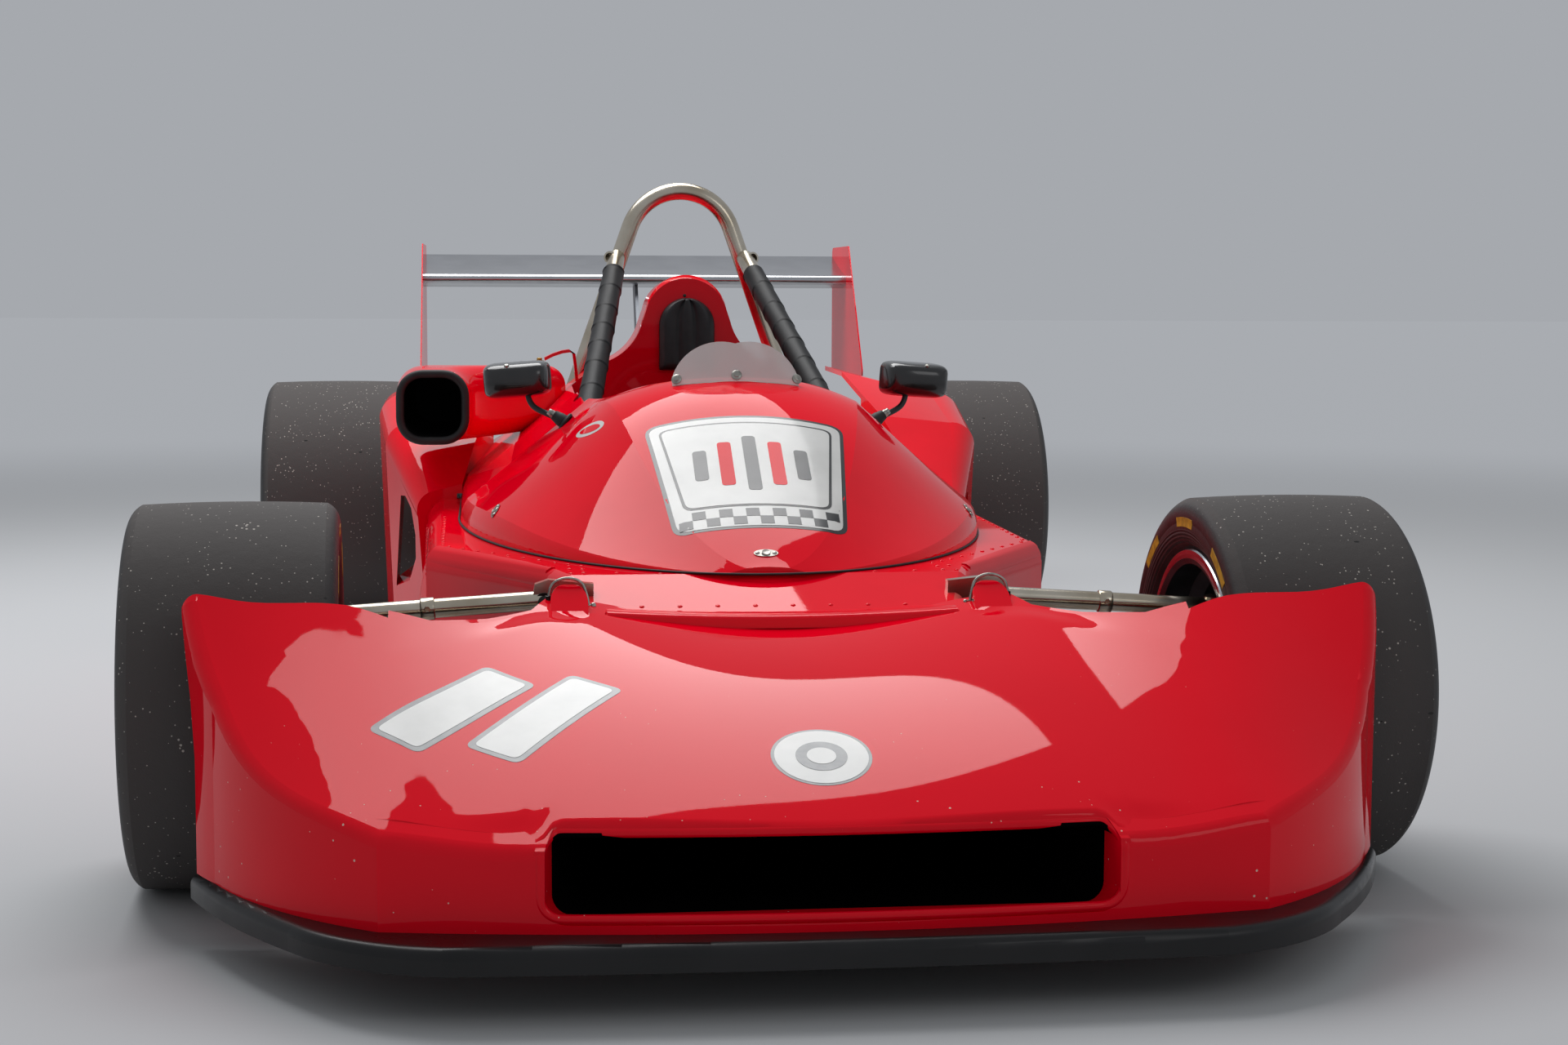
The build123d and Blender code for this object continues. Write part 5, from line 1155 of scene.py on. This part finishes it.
# The mirrors: glossy black moulded heads with a rounded back, a bright glass, a bent steel stalk, and a black
# rubber boot with a steel collar where the stalk leaves the dome.
gloss_black = new_finish("gloss_black_abs", ("#090909", "#121213"), 30, 0.25, Coat_Weight=0.6, Coat_Roughness=0.06)
silvered = new_finish("silvered_glass", "#DADDE0", None, 0.02, 1.0)
uneven(silvered, grain(silvered, 30), 0.01, 0.06)
MIRROR_AT = (334.0, 805.0, 638.0)
MIRROR_RINGS = (
    (-32, 30, 14), (-31, 62, 30), (-28, 84, 42), (-22, 97, 50), (-10, 105, 55), (6, 109, 58),
    (24, 111, 59), (30, 111, 59), (31, 109, 57), (31, 105, 53), (28, 103, 51),
)
MIRROR_SQUARE = 5.5
BACK_SQUARE = 3.0
GLASS_RINGS = ((27.6, 1.0), (28.6, 1.0), (29.4, 0.7), (29.8, 0.35))
STALK = ((261, 762, 574), (285, 775, 584), (303, 786, 592), (312, 792, 602), (316, 796, 618), (318, 798, 630))
BOOT = ((17, -3), (18, 0), (16.5, 2.5), (11.5, 4), (11, 12), (10, 14), (8.5, 22), (7, 23), (0, 23))
COLLAR = ((5.0, 22), (6.6, 22.5), (6.6, 27), (5.6, 28), (5.6, 32), (5.0, 33))


def squarish(wide, tall, square, count=40):
    """A round-cornered outline between an ellipse and a rectangle."""
    points = []
    for angle in around(count):
        c = math.cos(angle)
        s = math.sin(angle)
        x = wide / 2 * math.copysign(abs(c) ** (2 / square), c)
        points.append((x, tall / 2 * math.copysign(abs(s) ** (2 / square), s)))
    return points


heads = bmesh.new()
glasses = bmesh.new()
boots = bmesh.new()
mirror_collars = bmesh.new()
for side, name in ((1, "left"), (-1, "right")):
    x, y, z = MIRROR_AT
    hold = Matrix.Rotation(math.radians(4 * side), 3, "Y") @ Matrix.Rotation(math.radians(6 * side), 3, "Z")
    centre = at(side * x, y, z)
    head = [(depth, squarish(wide, tall, MIRROR_SQUARE if depth > -28 else BACK_SQUARE))
            for depth, wide, tall in MIRROR_RINGS]
    glass = [(depth, [(a * share, b * share) for a, b in squarish(103, 51, MIRROR_SQUARE)])
             for depth, share in GLASS_RINGS]
    for form, outlines in ((heads, head), (glasses, glass)):
        rings = [[centre + hold @ (Vector((a, depth, b)) * MM) for a, b in outline] for depth, outline in outlines]
        bridge(form, rings, (0, -1))
    points = [at(side * a, b, c) for a, b, c in STALK]
    stalk = wire(f"mirror_stalk_{name}", points, 4.8, satin_black)
    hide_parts("mirrors")
    foot, _ = on_top("cockpit_panel", side * 255, 761)
    lean = (points[0] - foot).normalized()
    turn(boots, foot, lean, BOOT, 28)
    turn(mirror_collars, foot, lean, COLLAR, 20)
    place = centre + hold @ (Vector((side * 12, -22, 24)) * MM)
    turn(mirror_collars, place, Vector((0, -0.4, 1)).normalized(), ((4.2, 0), (4.2, 2), (3, 3.4), (0, 3.8)), 16)
bmesh.ops.recalc_face_normals(boots, faces=boots.faces[:])
mirror_heads = piece("mirror_heads", heads, gloss_black)
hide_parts("mirrors")
piece("mirror_glasses", glasses, silvered)
piece("mirror_boots", boots, rubber_and_gap_shade)
piece("mirror_collars", mirror_collars, plated_steel)

# The studio: a plain pale floor that fades into the backdrop, and even light from a large soft box overhead and
# a weaker one ahead. The camera stands where the photograph was taken, low and a little to the driver's right.
FLOOR = "#C0C2C5"
BACKDROP = "#A6A9AE"
SKY = "#F4F6F8"
FLOOR_HALF = 60.0
floor_paint = new_finish("studio_floor", FLOOR, None, 0.95, Specular_IOR_Level=0.1, Emission_Color=BACKDROP)
where = add(floor_paint, "TexCoord", out="Object")
from_car = add(floor_paint, "VectorMath", {0: where, 1: at(0, 1200, 0)}, "Value", operation="DISTANCE")
away = add(floor_paint, "MapRange", {"Value": from_car, "From Min": 3.0, "From Max": 9.0},
           interpolation_type="SMOOTHSTEP")
over(floor_paint, away, Base_Color="#000000", Emission_Strength=1.0)
form = bmesh.new()
corners = ((-1, -1), (1, -1), (1, 1), (-1, 1))
form.faces.new([form.verts.new((x * FLOOR_HALF, y * FLOOR_HALF, 0)) for x, y in corners])
mesh = bpy.data.meshes.new("studio_floor")
form.to_mesh(mesh)
form.free()
mesh.materials.append(floor_paint)
floor = bpy.data.objects.new("studio_floor", mesh)
scene.collection.objects.link(floor)

world = bpy.data.worlds.new("studio")
world.use_nodes = True
scene.world = world
background = world.node_tree.nodes["Background"]
background.inputs["Color"].default_value = linear(SKY)
background.inputs["Strength"].default_value = 0.4
seen = 0.0
for ray in ("Is Camera Ray", "Is Glossy Ray", "Is Transmission Ray"):
    seen = add(world, "Math", {0: seen, 1: add(world, "LightPath", out=ray)}, operation="ADD", use_clamp=True)
backdrop = add(world, "Background", {"Color": linear(BACKDROP)})
mix = add(world, "MixShader", {0: seen, 1: background.outputs[0], 2: backdrop})
world.node_tree.links.new(mix, world.node_tree.nodes["World Output"].inputs[0])


def soft_box(name, place, aim, wide, tall, power):
    """A rectangular soft light at a place, turned to a point."""
    lamp = bpy.data.lights.new(name, "AREA")
    lamp.shape = "RECTANGLE"
    lamp.size = wide
    lamp.size_y = tall
    lamp.energy = power
    made = bpy.data.objects.new(name, lamp)
    made.location = place
    made.rotation_euler = (Vector(aim) - Vector(place)).to_track_quat("-Z", "Y").to_euler()
    scene.collection.objects.link(made)


soft_box("overhead_box", (-0.8, 1.2, 4.2), (0, -0.2, 0.3), 4.2, 3.0, 188)
soft_box("front_box", (3.2, -5.0, 3.0), (0, -1.0, 0.3), 2.2, 1.6, 14)

CAMERA_AT = (-369.2, -3264.8, 787.7)
CAMERA_YAW = 0.11765
CAMERA_PITCH = -0.09465
CAMERA_ROLL = 0.00389
CAMERA_LENS = 56.264
lens = bpy.data.cameras.new("photo_camera")
lens.lens = CAMERA_LENS
lens.sensor_width = 36.0
lens.clip_start = 0.1
lens.clip_end = 200.0
camera = bpy.data.objects.new("photo_camera", lens)
scene.collection.objects.link(camera)
level = Vector((math.cos(CAMERA_YAW), -math.sin(CAMERA_YAW), 0))
forward = UP.cross(level) * math.cos(CAMERA_PITCH) + UP * math.sin(CAMERA_PITCH)
upright = level.cross(forward)
across = level * math.cos(CAMERA_ROLL) + upright * math.sin(CAMERA_ROLL)
up = upright * math.cos(CAMERA_ROLL) - level * math.sin(CAMERA_ROLL)
camera.matrix_world = Matrix.LocRotScale(at(*CAMERA_AT), Matrix((across, up, -forward)).transposed(), None)
scene.camera = camera
scene.view_settings.view_transform = "Standard"
